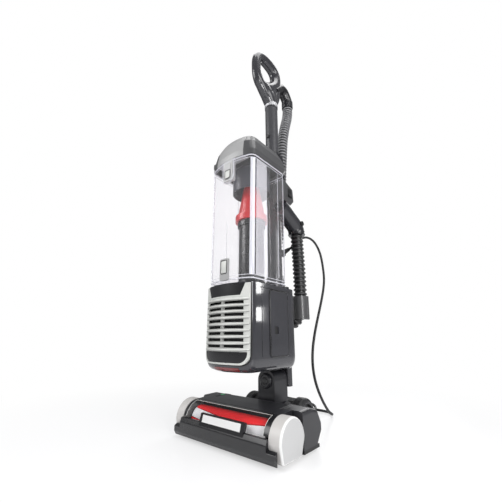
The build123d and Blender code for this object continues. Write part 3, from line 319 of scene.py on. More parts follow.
cupTints = ((0.99, 0.988, 0.992, 1), (0.955, 0.95, 0.968, 1))
windowTints = ((0.98, 0.98, 0.985, 1), (0.74, 0.74, 0.76, 1))
finishes = {
    "charcoal": plastic("charcoalGloss", srgb(0.16, 0.16, 0.175), 0.22, 0.12, 500, 0.003, coat=0.2),
    "podGloss": plastic("podGloss", srgb(0.22, 0.22, 0.235), 0.07, 0.12, 500, 0.001, coat=0.2),
    "wandSatin": plastic("wandSatin", srgb(0.25, 0.25, 0.262), 0.34, 0.08, 500, 0.003, coat=0.05),
    "gripGloss": plastic("gripGloss", srgb(0.2, 0.2, 0.214), 0.2, 0.06, 500, 0.0005, coat=0.2),
    "headSatin": plastic("headSatin", srgb(0.14, 0.14, 0.154), 0.32, 0.12, 500, 0.003, coat=0.05),
    "charcoalDark": plastic("charcoalDark", srgb(0.09, 0.09, 0.1), 0.28, 0.12, 500, 0.006, coat=0.15),
    "black": plastic("blackSatin", srgb(0.1, 0.1, 0.105), 0.45, 0.12, 900, 0.06),
    "midGrey": plastic("midGreySatin", srgb(0.27, 0.27, 0.275), 0.35, 0.08, 800, 0.03, coat=0.15),
    "shroud": plastic("shroudGrey", srgb(0.3, 0.3, 0.33), 0.4, 0.08, 800, 0.03),
    "lightGrey": plastic("lightGreySatin", srgb(0.75, 0.755, 0.74), 0.38, 0.05, 800, 0.04),
    # the louvres' grey, which gets painted shade where it faces down
    "bladeGrey": plastic("bladeGreySatin", srgb(0.78, 0.785, 0.77), 0.34, 0.05, 800, 0.03),
    "lidGrey": plastic("lidGrey", srgb(0.6, 0.6, 0.6), 0.36, 0.05, 800, 0.02, coat=0.1),
    "capGrey": plastic("warmCapGrey", srgb(0.74, 0.73, 0.72), 0.4, 0.05, 700, 0.04),
    "white": plastic("whiteGloss", srgb(0.86, 0.86, 0.855), 0.3, 0.03, 600, 0.02),
    "red": plastic("signalRed", srgb(0.8, 0.1, 0.13), 0.3, 0.08, 700, 0.02, coat=0.3),
    "darkRed": plastic("deepRed", srgb(0.42, 0.1, 0.1), 0.2, 0.1, 600, 0.01, coat=0.5),
    "redPile": plastic("redPile", srgb(0.95, 0.05, 0.09), 0.75, 0.14, 2600, 0.5),
    "whitePile": plastic("whitePile", srgb(0.95, 0.945, 0.94), 0.75, 0.06, 2600, 0.5),
    "felt": plastic("paleFelt", srgb(0.6, 0.6, 0.58), 0.9, 0.12, 2200, 0.5),
    "hose": plastic("hoseBlack", srgb(0.045, 0.045, 0.047), 0.3, 0.14, 900, 0.05),
    "cord": plastic("cordBlack", srgb(0.1, 0.1, 0.105), 0.5, 0.1, 1500, 0.08),
    "silver": plastic("silverRing", srgb(0.9, 0.9, 0.91), 0.32, 0.05, 500, 0.02, metallic=0.6),
    "steel": plastic("plainSteel", srgb(0.7, 0.7, 0.71), 0.32, 0.06, 1200, 0.05, metallic=1.0),
    "motor": plastic("motorCan", srgb(0.55, 0.55, 0.56), 0.4, 0.1, 900, 0.06, metallic=0.8),
    "foam": plastic("darkFoam", srgb(0.25, 0.25, 0.26), 0.95, 0.2, 1600, 0.8),
    "paper": plastic("filterFelt", srgb(0.1, 0.1, 0.105), 0.9, 0.06, 1200, 0.3),
    "cup": clearShell("clearCup", *cupTints, 0.4, 0.06, 0.028),
    "window": clearShell("clearWindow", *windowTints, 0.18, 0.05, 0.008),
    # pale clear plastic for the cup's rims, corners and lines, painted as highlights
    "glint": plastic("clearEdgeGlint", srgb(0.93, 0.93, 0.96), 0.08, 0.02, 300, 0.01, coat=0.5),
    # pale band for the painted sheen on the cup's side wall
    "veil": plastic("clearSheenBand", srgb(0.93, 0.925, 0.95), 0.12, 0.03, 300, 0.01, coat=0.3),
    "lens": plastic("greenLens", srgb(0.2, 0.72, 0.42), 0.12, 0.05, 400, 0.01, coat=0.6),
}
seeThrough = {"shroud": 0.86, "glint": 0.5, "veil": 0.3}  # share that stays solid
# tone of the painted highlight on the hose's crests
crestHighlightTone = srgb(0.52, 0.52, 0.53)
# painted shade laid over what faces down, by the normal's Z
undersideShade = {"tone": srgb(0.4, 0.4, 0.395), "facing": (0.55, -0.45)}  # by the normal's Z
capEnds = [
    # from and to how far out along X, in m, and the tone: pale rim, then end plate
    (0.1428, 0.1434, srgb(0.86, 0.86, 0.855)),
    (0.1466, 0.1469, srgb(0.72, 0.72, 0.72)),
]


def overlay(tree, tone, factor):
    # lays a tone over the colour that the shader already has
    colour = tree.nodes["Principled BSDF"].inputs["Base Color"]
    body = colour.links[0].from_socket
    blend = tree.nodes.new("ShaderNodeMix")
    blend.data_type = "RGBA"
    blend.inputs["B"].default_value = tone
    tree.links.new(factor, blend.inputs["Factor"])
    tree.links.new(body, blend.inputs["A"])
    tree.links.new(blend.outputs["Result"], colour)


def ramp(tree, value, start, end):
    step = tree.nodes.new("ShaderNodeMapRange")
    step.inputs["From Min"].default_value = start
    step.inputs["From Max"].default_value = end
    tree.links.new(value, step.inputs["Value"])
    return step.outputs["Result"]


def paintCapEnds(tree):
    # a cap's outer edge and end plate have tones of their own
    coords = tree.nodes.new("ShaderNodeTexCoord")
    axes = tree.nodes.new("ShaderNodeSeparateXYZ")
    outward = tree.nodes.new("ShaderNodeMath")
    outward.operation = "ABSOLUTE"
    tree.links.new(coords.outputs["Object"], axes.inputs[0])
    tree.links.new(axes.outputs["X"], outward.inputs[0])
    for start, end, tone in capEnds:
        overlay(tree, tone, ramp(tree, outward.outputs[0], start, end))


def paintUndersideShade(tree):
    # painted shade: what faces forward and down is painted darker than what faces up
    facing = tree.nodes.new("ShaderNodeNewGeometry")
    axes = tree.nodes.new("ShaderNodeSeparateXYZ")
    tree.links.new(facing.outputs["Normal"], axes.inputs[0])
    overlay(tree, undersideShade["tone"], ramp(tree, axes.outputs["Z"], *undersideShade["facing"]))


def paintCrestHighlights(tree):
    # painted highlight: the tops of the hose's ribs are painted paler than the valleys, more so higher
    # up
    crest = tree.nodes.new("ShaderNodeAttribute")
    crest.attribute_name = "crest"
    overlay(tree, crestHighlightTone, crest.outputs["Fac"])


paintCrestHighlights(finishes["hose"].node_tree)
paintUndersideShade(finishes["bladeGrey"].node_tree)
paintCapEnds(finishes["capGrey"].node_tree)
for finish, alpha in seeThrough.items():
    finishes[finish].node_tree.nodes["Principled BSDF"].inputs["Alpha"].default_value = alpha

nodeFinish = {
    "charcoal": ["spine", "hose_elbow"],
    "wandSatin": ["wand_tube"],
    "gripGloss": ["handle"],
    "headSatin": ["head_cover", "neck_yoke", "neck_pivot_pin"],
    "podGloss": ["pod_shell", "side_panel_left", "side_panel_right"],
    "charcoalDark": ["pod_front_panel", "front_bumper", "cyclone_column", "hose_cuff"],
    "black": [
        "sole_plate", "brush_core", "rear_wheel_left", "rear_wheel_right", "pod_deck",
        "power_switch", "wand_button", "drive_belt", "cord_tie",
    ],
    "midGrey": ["cup_lid", "switch_housing", "hose_clip"],
    "shroud": ["cyclone_shroud"],
    "lightGrey": ["grille_frame"],
    "lidGrey": ["lid_front_panel", "cup_release_button", "door_latch"],
    "capGrey": ["end_cap_left", "end_cap_right"],
    "white": ["bumper_badge"],
    "red": ["cyclone_cone"],
    "darkRed": ["pod_accent"],
    "redPile": ["brush_bands_red"],
    "whitePile": ["brush_bands_white"],
    "felt": ["glide_pads"],
    "hose": ["hose"],
    "cord": ["cord_gland", "cord_upper", "cord_lower", "cord_coil", "cord_plug"],
    "silver": ["wand_ring"],
    "steel": ["brush_bearings", "rear_axle", "head_screws", "motor_pulley"],
    "motor": ["brush_motor", "suction_motor", "fan_wheel"],
    "foam": ["foam_filter"],
    "paper": ["exhaust_filter"],
    "cup": ["dust_cup", "cup_door"],
    "window": ["brush_window"],
    "lens": ["indicator_lens"],
}
for finish, names in nodeFinish.items():
    for name in names:
        mesh = nodes[name].data
        mesh.materials.clear()
        mesh.materials.append(finishes[finish])
print("finishes set on", sum(len(names) for names in nodeFinish.values()), "nodes")


# small helpers for hand modelling
def clearPick():
    if bpy.context.mode != "OBJECT":
        bpy.ops.object.mode_set(mode="OBJECT")
    bpy.ops.object.select_all(action="DESELECT")


def pickOnly(obj):
    clearPick()
    obj.select_set(True)
    bpy.context.view_layer.objects.active = obj


def pick(obj, kind, test):
    # leaves the object in edit mode with only what passes the test selected
    bpy.context.view_layer.objects.active = obj
    obj.select_set(True)
    bpy.ops.object.mode_set(mode="EDIT")
    bpy.ops.mesh.select_mode(type=kind)
    bpy.ops.mesh.select_all(action="DESELECT")
    bpy.ops.object.mode_set(mode="OBJECT")
    mesh = obj.data
    items = {"FACE": mesh.polygons, "EDGE": mesh.edges, "VERT": mesh.vertices}[kind]
    for item in items:
        item.select = test(item)
    bpy.ops.object.mode_set(mode="EDIT")


def faceOut(obj):
    pick(obj, "FACE", lambda face: True)
    bpy.ops.mesh.normals_make_consistent(inside=False)
    bpy.ops.object.mode_set(mode="OBJECT")


def edgeSpan(obj, edge, axis):
    # how far an edge runs along an axis
    k = "XYZ".index(axis)
    a, b = (obj.data.vertices[i].co[k] for i in edge.vertices)
    return abs(a - b)


def dress(obj, name, finish):
    obj.name = name
    obj.data.name = name
    obj.data.materials.clear()
    obj.data.materials.append(finishes[finish])


def done(obj, name, finish, body, smooth=35):
    pickOnly(obj)
    for modifier in list(obj.modifiers):
        bpy.ops.object.modifier_apply(modifier=modifier.name)
    bpy.ops.object.transform_apply(location=True, rotation=True, scale=True)
    bpy.ops.object.shade_smooth_by_angle(angle=math.radians(smooth))
    dress(obj, name, finish)
    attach(obj, body)
    return obj


def curveLine(name, places, thickness, roundness, kind="NURBS", closed=False, steps=12):
    curve = bpy.data.curves.new(name, "CURVE")
    curve.dimensions = "3D"
    curve.resolution_u = steps
    curve.bevel_depth = thickness
    curve.bevel_resolution = roundness
    curve.use_fill_caps = not closed
    spline = curve.splines.new(kind)
    spline.points.add(len(places) - 1)
    for control, place in zip(spline.points, places):
        control.co = (*place, 1)
    if kind == "NURBS":
        spline.order_u = 3
        spline.use_endpoint_u = not closed
    spline.use_cyclic_u = closed
    line = bpy.data.objects.new(name, curve)
    bpy.context.scene.collection.objects.link(line)
    return line


def toMesh(line):
    pickOnly(line)
    bpy.ops.object.convert(target="MESH")
    return bpy.context.active_object


def bead(name, points, radius, closed, finish, body):
    # a thin round moulding along a line of points, in mm
    places = [mm(*point) for point in points]
    line = curveLine(name, places, radius / 1000, roundness=2, kind="POLY", closed=closed)
    return done(toMesh(line), name, finish, body, smooth=60)


def softBlock(x0, x1, y0, y1, z0, z1, edge):
    # a block with every edge rolled over, in mm
    clearPick()
    middle = mm((x0 + x1) / 2, (y0 + y1) / 2, (z0 + z1) / 2)
    bpy.ops.mesh.primitive_cube_add(size=1, location=middle)
    obj = bpy.context.active_object
    obj.scale = ((x1 - x0) / 1000, (y1 - y0) / 1000, (z1 - z0) / 1000)
    bpy.ops.object.transform_apply(location=False, rotation=False, scale=True)
    bpy.ops.object.mode_set(mode="EDIT")
    bpy.ops.mesh.select_all(action="SELECT")
    bpy.ops.mesh.bevel(offset=edge / 1000, segments=3, affect="EDGES")
    bpy.ops.object.mode_set(mode="OBJECT")
    return obj


def roundDisc(centre, axis, radius, depth, edge):
    # a disc along an axis with rolled rims, in mm
    clearPick()
    turn = {"X": (0, math.pi / 2, 0), "Y": (math.pi / 2, 0, 0), "Z": (0, 0, 0)}[axis]
    bpy.ops.mesh.primitive_cylinder_add(
        vertices=48, radius=radius / 1000, depth=depth / 1000, location=mm(*centre), rotation=turn,
    )
    obj = bpy.context.active_object
    bpy.ops.object.transform_apply(location=False, rotation=True, scale=False)
    pick(obj, "EDGE", lambda edge: edgeSpan(obj, edge, axis) < 1e-6)
    bpy.ops.mesh.bevel(offset=edge / 1000, segments=3, affect="EDGES")
    bpy.ops.object.mode_set(mode="OBJECT")
    return obj


def wallStrip(name, place, thickness, finish, body, soften=0.0):
    # a thin plate laid over a wall: place gives each point from two shares, across and up
    clearPick()
    bpy.ops.mesh.primitive_grid_add(x_subdivisions=10, y_subdivisions=14, size=1, location=(0, 0, 0))
    strip = bpy.context.active_object
    for v in strip.data.vertices:
        v.co = place(v.co.x + 0.5, v.co.y + 0.5)
    faceOut(strip)
    wall = strip.modifiers.new("wall", "SOLIDIFY")
    wall.thickness = thickness / 1000
    wall.offset = 1
    if soften:
        edge = strip.modifiers.new("edge", "BEVEL")
        edge.width = soften / 1000
        edge.segments = 2
    return done(strip, name, finish, body, smooth=40)


def circle(centre, axis, radius, steps=36):
    x, y, z = centre
    points = []
    for k in range(steps):
        a = radius * math.cos(2 * math.pi * k / steps)
        b = radius * math.sin(2 * math.pi * k / steps)
        points.append({"X": (x, y + a, z + b), "Y": (x + a, y, z + b), "Z": (x + a, y + b, z)}[axis])
    return points


def roundedLoop(x0, x1, z0, z1, y, corner, steps=5):
    # an upright rectangle with round corners
    left, right, low, high = x0 + corner, x1 - corner, z0 + corner, z1 - corner
    points = []
    for quarter, (cx, cz) in enumerate([(right, high), (left, high), (left, low), (right, low)]):
        for k in range(steps + 1):
            turn = math.pi / 2 * (quarter + k / steps)
            points.append((cx + corner * math.cos(turn), y, cz + corner * math.sin(turn)))
    return points


def bowRadius(half, bow):
    # of the arc across the pod's and the cup's front
    return (half * half + bow * bow) / (2 * bow)


# the power cord
cord = {
    "radius": 0.0035,
    "upper": [
        (23.58, 45.95, 460.16), (32.67, 65.42, 474.7), (32, 96, 503), (38, 128, 518),
        (45, 158, 513), (51, 178, 490), (55, 188, 459), (57, 189, 428),
    ],
    "upperSteps": 8,
    "lower": [
        (57, 189, 428), (59, 190, 397), (60.5, 177, 358), (61, 154, 314), (61, 127, 268),
        (60.5, 102, 221), (60, 86, 178), (60, 82, 138), (60, 91, 101), (60, 111, 67), (59, 138, 37),
        (56.5, 165, 16), (54, 188, 6.5), (42.5, 206.2, 4.6), (24.5, 217.65, 4.6), (-5, 219.15, 4.6),
        (-35, 217.65, 4.6),
    ],
    "lowerSteps": 4,
}
coil = {
    "centre": (-66, 138),
    "inner": 34.0,
    "halfTurns": 11,
    "lastHalfTurns": 6,
    "pitch": 8.3,
    "layerPitch": 8.0,
    "floor": 4.6,
    "perHalfTurn": 8,
    "plugHeight": 17.0,
    "plugGap": 0.4,
}


def linePoints(points, steps):
    line = curveLine("guideLine", points, thickness=0.0, roundness=0, steps=steps)
    bpy.context.view_layer.update()
    mesh = bpy.data.meshes.new_from_object(line)
    places = [v.co.copy() for v in mesh.vertices]
    curve = line.data
    bpy.data.objects.remove(line)
    bpy.data.curves.remove(curve)
    bpy.data.meshes.remove(mesh)
    return places


def lineLength(places):
    return sum((b - a).length for a, b in zip(places, places[1:]))


def cordTube(name, points, steps):
    tube = toMesh(curveLine(name, points, cord["radius"], roundness=4, steps=steps))
    dress(tube, name, "cord")
    bpy.ops.object.shade_smooth()
    return tube


def easeBoth(part):
    return part * part * (3 - 2 * part)


def coilPoints():
    # radius and height at each half turn: in, up, out, up, in, up and part of the way out
    radius = coil["inner"] + coil["halfTurns"] * coil["pitch"] / 2
    height = coil["floor"]
    stations = [(radius, height)]
    way = -1
    counts = [coil["halfTurns"]] * 3 + [coil["lastHalfTurns"]]
    for layer, count in enumerate(counts):
        for step in range(count):
            radius += way * (coil["pitch"] / 2 if layer == 0 or step else coil["pitch"])
            stations.append((radius, height))
        if layer < len(counts) - 1:
            radius += way * coil["pitch"] / 2
            height += coil["layerPitch"]
            stations.append((radius, height))
            way = -way
    points = []

    def lay(r, z, halfTurns):
        turn = math.pi * halfTurns + math.pi / 2
        cx, cy = coil["centre"]
        points.append((cx + r * math.cos(turn), cy + r * math.sin(turn), z))

    # the curve runs inside its control points, so they stand a little further out
    spread = 1 / (1 - 0.5 * (1 - math.cos(math.pi / coil["perHalfTurn"])))
    for i, ((r0, z0), (r1, z1)) in enumerate(zip(stations, stations[1:])):
        for k in range(coil["perHalfTurn"]):
            part = k / coil["perHalfTurn"]
            lay((r0 + (r1 - r0) * part) * spread, z0 + (z1 - z0) * easeBoth(part), i + part)
    # the end climbs over a quarter turn to the middle of the plug on top
    r, z = stations[-1]
    top = coil["floor"] + (len(counts) - 1) * coil["layerPitch"] + cord["radius"] * 1000
    plugMiddle = top + coil["plugGap"] + coil["plugHeight"] / 2
    for k in range(5):
        part = k / 4
        lay(r, z + (plugMiddle - z) * easeBoth(part), len(stations) - 1 + part / 2)
    return points


upperPoints = [mm(*p) for p in cord["upper"]]
runPoints = [mm(*p) for p in cord["lower"]] + [mm(*p) for p in coilPoints()]
upperPath = linePoints(upperPoints, cord["upperSteps"])
runPath = linePoints(runPoints, cord["lowerSteps"])
cordUpper = cordTube("cordUpper", upperPoints, cord["upperSteps"])
cordRun = cordTube("cordRun", runPoints, cord["lowerSteps"])
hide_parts("cord_upper")
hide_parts("cord_lower", "cord_coil")
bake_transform(cordUpper)
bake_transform(cordRun)
lineLength(upperPath)
lineLength(runPath)
print("cord laid,", round(lineLength(upperPath) + lineLength(runPath), 3), "m")


# the hose
hose = {
    "route": [
        (0, 110, 1024), (0, 110, 1006), (0, 103, 972), (0, 90, 936), (0, 77, 893), (0, 68, 848),
        (0, 62, 798), (-1, 57, 742), (-3, 53, 680), (-7, 53, 620), (-13, 54, 560), (-21, 54, 500),
        (-31, 53, 445), (-42, 52, 390), (-50, 51, 340), (-52, 51, 300), (-46, 51, 269), (-26, 51, 250),
        (0, 51, 245), (26, 51, 250), (46, 51, 269), (52, 51, 300), (52.5, 51, 345), (52, 51, 395),
        (51, 50.5, 445), (50, 50, 479), (50, 50, 497),
    ],
    "steps": 12,
    "crest": 0.018,
    "valley": 0.0146,
    "pitch": 0.0118,
    "sides": 28,
    "profile": [  # share of the pitch and of the rib's height
        (0.0, 0.0), (0.22, 0.05), (0.34, 0.8), (0.42, 1.0), (0.62, 1.0), (0.7, 0.8), (0.82, 0.05),
    ],
    # painted highlight on the rib crests, stronger higher up
    "highlightRamp": (0.5, 0.8),  # from and to what height the crests turn pale
    "leastHighlight": 0.13,
}


def ribbedTube(name, path):
    # rings stand square to the line, the rib profile repeats along it
    lengths = [0.0]
    for a, b in zip(path, path[1:]):
        lengths.append(lengths[-1] + (b - a).length)
    total = lengths[-1]
    ribs = round(total / hose["pitch"])
    stations = []
    for i in range(ribs):
        for share, lift in hose["profile"]:
            stations.append(((i + share) * total / ribs, lift))
    stations.append((total, 0.0))
    verts, faces = [], []
    side = Vector((1, 0, 0))
    at = 0
    n = hose["sides"]
    for s, lift in stations:
        while at < len(lengths) - 2 and lengths[at + 1] < s:
            at += 1
        part = (s - lengths[at]) / max(lengths[at + 1] - lengths[at], 1e-9)
        place = path[at].lerp(path[at + 1], min(max(part, 0), 1))
        before, after = path[max(at - 1, 0)], path[min(at + 2, len(path) - 1)]
        way = (after - before).normalized()
        side = (side - way * side.dot(way)).normalized()
        other = way.cross(side)
        radius = hose["valley"] + (hose["crest"] - hose["valley"]) * lift
        for k in range(n):
            turn = 2 * math.pi * k / n
            verts.append(place + (side * math.cos(turn) + other * math.sin(turn)) * radius)
    for i in range(len(stations) - 1):
        for k in range(n):
            k2 = (k + 1) % n
            faces.append((i * n + k, i * n + k2, (i + 1) * n + k2, (i + 1) * n + k))
    faces.append(tuple(reversed(range(n))))
    faces.append(tuple(range((len(stations) - 1) * n, len(stations) * n)))
    mesh = bpy.data.meshes.new(name)
    mesh.from_pydata(verts, [], faces)
    # the crest attribute holds the painted highlight: rib height times a share that grows with height
    crest = mesh.attributes.new("crest", "FLOAT", "POINT")
    low, high = hose["highlightRamp"]
    least = hose["leastHighlight"]
    for i, (s, lift) in enumerate(stations):
        highlightRamp = min(max((verts[i * n].z - low) / (high - low), 0.0), 1.0)
        for k in range(n):
            crest.data[i * n + k].value = lift * (least + (1 - least) * highlightRamp)
    tube = bpy.data.objects.new(name, mesh)
    bpy.context.scene.collection.objects.link(tube)
    dress(tube, name, "hose")
    pickOnly(tube)
    faceOut(tube)
    bpy.ops.object.shade_smooth_by_angle(angle=math.radians(40))
    return tube


hosePoints = [mm(*p) for p in hose["route"]]
hosePath = linePoints(hosePoints, hose["steps"])
hosePiece = ribbedTube("ribbedHose", hosePath)
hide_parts("hose")
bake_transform(hosePiece)
lineLength(hosePath)
print("hose laid,", round(lineLength(hosePath), 3), "m")


# front grille
grille = {
    "slots": 8, "pitch": 13.0, "top": 287.5, "lift": 3.0, "footLift": 3.4, "reach": 66.0,
    "half": 71.0, "front": -172.0, "bow": 18.0, "face": 4.2,
}
blade = {
    "round": [
        # share out of the frame and height, around it: steep brow, drooping lip, hollow underside
        (0.0, 0.6), (0.0, 3.4), (0.3, 4.2), (0.62, 3.2), (0.86, 1.2), (1.0, -1.4),
        (0.97, -2.9), (0.84, -3.3), (0.66, -2.6), (0.4, -1.6), (0.15, -1.6), (0.0, -1.6),
    ],
    "cuts": 31,
    "seat": 2.6,  # how far behind the face it starts
    "depth": 2.9,
    "proud": 8.0,  # what the middle has more than the ends
    "fullness": 0.65,
    "endHeight": 0.55,
}


def podFace(x):
    big = bowRadius(grille["half"], grille["bow"])
    return grille["front"] - grille["bow"] + big - math.sqrt(big * big - x * x) - grille["face"]


def louvre(name, z):
    clearPick()
    count = len(blade["round"])
    bpy.ops.mesh.primitive_cylinder_add(
        vertices=count, radius=1, depth=2, rotation=(0, math.pi / 2, 0),
    )
    piece = bpy.context.active_object
    bpy.ops.object.transform_apply(location=False, rotation=True, scale=False)
    pick(piece, "EDGE", lambda edge: edgeSpan(piece, edge, "X") > 1)
    bpy.ops.mesh.subdivide(number_cuts=blade["cuts"])
    bpy.ops.object.mode_set(mode="OBJECT")
    for v in piece.data.vertices:
        along = v.co.x
        step = round(math.atan2(v.co.z, v.co.y) / (2 * math.pi) * count) % count
        out, dz = blade["round"][step]
        swell = max(0.0, 1 - along * along) ** blade["fullness"]
        x = along * grille["reach"]
        y = podFace(x) + blade["seat"] - (blade["depth"] + blade["proud"] * swell) * out
        v.co = mm(x, y, z + dz * (blade["endHeight"] + (1 - blade["endHeight"]) * swell))
    faceOut(piece)
    return done(piece, name, "bladeGrey", "filter_cover", smooth=50)


for i in range(grille["slots"]):
    louvre("louvre%d" % (i + 1), grille["top"] - i * grille["pitch"] + grille["lift"])
louvre("louvreFoot", grille["top"] - grille["slots"] * grille["pitch"] + grille["footLift"])
print("louvres made")


# dust cup trims
cup = {
    "base": 328.02, "rim": 651.0, "baseHalf": 68.0, "rimHalf": 72.5, "front": -172.0, "bow": 15.0,
    "rear": -36.0, "corner": 16.0,
}
# the cup's rim lips, made pale: real lips painted as highlight lines
cupBeads = [
    # name, height, how far out of the wall and radius
    ("cupRimBead", 647.5, 0.4, 1.6), ("cupBandBead", 640.5, 0.2, 0.7),
    ("cupFootBead", 337.0, 0.8, 1.5), ("cupFootLine", 344.5, 0.2, 0.7),
]
cupStrip = {
    "low": 345.0, "high": 640.0, "lift": 0.15, "frontArc": (-62, -8), "rearArc": (20, 80),
    "frontWide": 0.78, "rearWide": 0.35, "wall": 1.2,
    "bandFront": -160.5, "bandRear": -119.5, "bandWall": 0.8,
}
# painted highlight lines down the clear side walls
cupGlintLines = [
    # name, place along the side wall, low and high end
    ("cupGlintFront", -118, 345, 520), ("cupGlintRear", -72, 350, 640),
]
cupGlintLineSize = {"out": 0.1, "radius": 0.7}
sides = ((1, "Right"), (-1, "Left"))


def bowedLoop(half, frontY, bow, rearY, corner, steps=10):
    # plan of the cup: bowed front, straight sides, rounded corners
    big = bowRadius(half, bow)
    centreY = frontY - bow + big
    fx = half - corner
    fy = centreY - math.sqrt((big - corner) ** 2 - fx * fx)
    lean = math.atan2(fy - centreY, fx)
    ry = rearY - corner
    quarter = math.pi / 2
    points = []
    for k in range(steps * 2 + 1):  # left to right along the front
        turn = -math.pi - lean + (2 * lean + math.pi) * k / (steps * 2)
        points.append((big * math.cos(turn), centreY + big * math.sin(turn)))
    arcs = [
        # corner's middle, first turn, whole turn and the steps it takes
        (fx, fy, lean, -lean, range(1, steps + 1)),
        (fx, ry, 0, quarter, range(steps + 1)),
        (-fx, ry, quarter, quarter, range(steps + 1)),
        (-fx, fy, math.pi, -lean, range(steps)),
    ]
    for cx, cy, start, sweep, ks in arcs:
        for k in ks:
            turn = start + sweep * k / steps
            points.append((cx + corner * math.cos(turn), cy + corner * math.sin(turn)))
    return points


def cupHalf(z):
    share = (z - cup["base"]) / (cup["rim"] - cup["base"])
    return cup["baseHalf"] + (cup["rimHalf"] - cup["baseHalf"]) * share


def cupLoop(z, out):
    ring = bowedLoop(
        cupHalf(z) + out, cup["front"] - out, cup["bow"], cup["rear"] + out, cup["corner"] + out,
    )
    return [(x, y, z) for x, y in ring]


def stripHeight(t):
    return cupStrip["low"] + (cupStrip["high"] - cupStrip["low"]) * t


def cornerGlint(name, side, front, wide):
    # a pale strip over the cup's rounded corner: a painted highlight
    start, end = cupStrip["frontArc"] if front else cupStrip["rearArc"]

    def place(u, t):
        z = stripHeight(t)
        half = cupHalf(z)
        r = cup["corner"]
        cx = half - r
        cy = cup["rear"] - r
        if front:
            big = bowRadius(half, cup["bow"])
            cy = cup["front"] - cup["bow"] + big - math.sqrt((big - r) ** 2 - cx * cx)
        turn = math.radians((start + end) / 2 + (end - start) * wide * (u - 0.5))
        r += cupStrip["lift"]
        return mm(side * (cx + r * math.cos(turn)), cy + r * math.sin(turn), z)

    return wallStrip(name, place, cupStrip["wall"], "glint", "dust_cup_unit")


def sideSheen(name, side):
    # a pale band on the side wall beside the corner: painted sheen that carries the corner's highlight
    # along the wall, veiling what is behind it
    def place(u, t):
        z = stripHeight(t)
        y = cupStrip["bandFront"] + (cupStrip["bandRear"] - cupStrip["bandFront"]) * u
        return mm(side * (cupHalf(z) + cupStrip["lift"]), y, z)

    return wallStrip(name, place, cupStrip["bandWall"], "veil", "dust_cup_unit")


for name, z, out, radius in cupBeads:
    bead(name, cupLoop(z, out), radius, True, "glint", "dust_cup_unit")
for side, word in sides:
    cornerGlint("cupCornerGlint" + word, side, True, cupStrip["frontWide"])
    cornerGlint("cupRearCornerGlint" + word, side, False, cupStrip["rearWide"])
sideSheen("cupSheenRight", 1)
for name, y, low, high in cupGlintLines:
    for side, word in sides:
        heights = (low, (low + high) / 2, high)
        line = [(side * (cupHalf(z) + cupGlintLineSize["out"]), y, z) for z in heights]
        bead(name + word, line, cupGlintLineSize["radius"], False, "glint", "dust_cup_unit")
print("cup trims made")


# handle, as round arms that flow into one neck: y, z and radius along each
grip = {
    "loop": [  # up the front arm, over the crown and down the rear arm
        (-68, 1034, 16.4), (-71, 1068, 16), (-70, 1099, 16.2), (-60, 1125, 17), (-35, 1136, 18.2),
        (-13, 1136, 18.8), (10, 1134, 19.2), (31, 1123, 19.8), (38, 1098, 20.3), (32, 1070, 21),
        (12, 1042, 21), (-22, 1015, 20), (-52, 1012, 18),
    ],
    "arms": {
        "neck": [(8, 964, 22), (6, 971, 22.3), (-4, 984, 23.5), (-18, 1000, 23), (-30, 1012, 21)],
        "fill": [(7, 968, 21), (5, 985, 21.5), (5, 1005, 21), (6, 1024, 20), (10, 1040, 19)],
        "rear": [(9, 966, 20), (18, 988, 20), (29, 1012, 19.5), (36, 1040, 19), (40, 1072, 18)],
        "front": [
            (-2, 981, 19), (-18, 989, 19.5), (-37, 1002, 18.5), (-54, 1019, 17), (-66, 1042, 16),
        ],
    },
    "voxel": 0.002,
    "smoothing": 20,
    "flat": 0.92,
}


def armTube(points, closed):
    # the bevel is 1 mm, and each point's radius scales it
    places = [mm(0, y, z) for y, z, radius in points]
    arm = curveLine("arm", places, thickness=0.001, roundness=6, closed=closed)
    for control, (y, z, radius) in zip(arm.data.splines[0].points, points):
        control.radius = radius
    return arm


def roundHandle():
    clearPick()
    arms = [armTube(grip["loop"], True)] + [armTube(arm, False) for arm in grip["arms"].values()]
    for arm in arms:
        arm.select_set(True)
    bpy.context.view_layer.objects.active = arms[0]
    bpy.ops.object.convert(target="MESH")
    bpy.ops.object.join()
    handle = bpy.context.active_object
    skin = handle.modifiers.new("skin", "REMESH")
    skin.mode = "VOXEL"
    skin.voxel_size = grip["voxel"]
    ease = handle.modifiers.new("ease", "SMOOTH")
    ease.iterations = grip["smoothing"]
    fine = handle.modifiers.new("fine", "SUBSURF")
    fine.levels = fine.render_levels = 1
    for name in ("skin", "ease", "fine"):
        bpy.ops.object.modifier_apply(modifier=name)
    handle.scale = (grip["flat"], 1, 1)
    piece = done(handle, "roundHandle", "gripGloss", "wand", smooth=80)
    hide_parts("handle")
    return piece


roundHandle()
print("handle made")


# window bezel over the brush; its top band is a painted reflection
bezel = {
    "axisY": -153.0, "axisZ": 35.0, "radius": 37.0, "lift": 0.1, "wall": 0.9, "soften": 0.3,
    "half": 119.5, "right": 107, "left": -110, "rear": 84.5, "top": 101, "foot": 165,
    "lineLift": 0.9, "lineTop": 101.3, "lineX": (-60, 0, 60), "lineStep": 8, "lineRadius": 0.55,
}


def onWindow(x, degrees, lift):
    # a point over the window, by the turn around the brush's axis
    turn = math.radians(degrees)
    r = bezel["radius"] + lift
    return (x, bezel["axisY"] + r * math.cos(turn), bezel["axisZ"] + r * math.sin(turn))


def windowStrip(name, x0, x1, a0, a1):
    def place(u, t):
        return mm(*onWindow(x0 + (x1 - x0) * u, a0 + (a1 - a0) * t, bezel["lift"]))

    return wallStrip(name, place, bezel["wall"], "charcoalDark", "head", bezel["soften"])


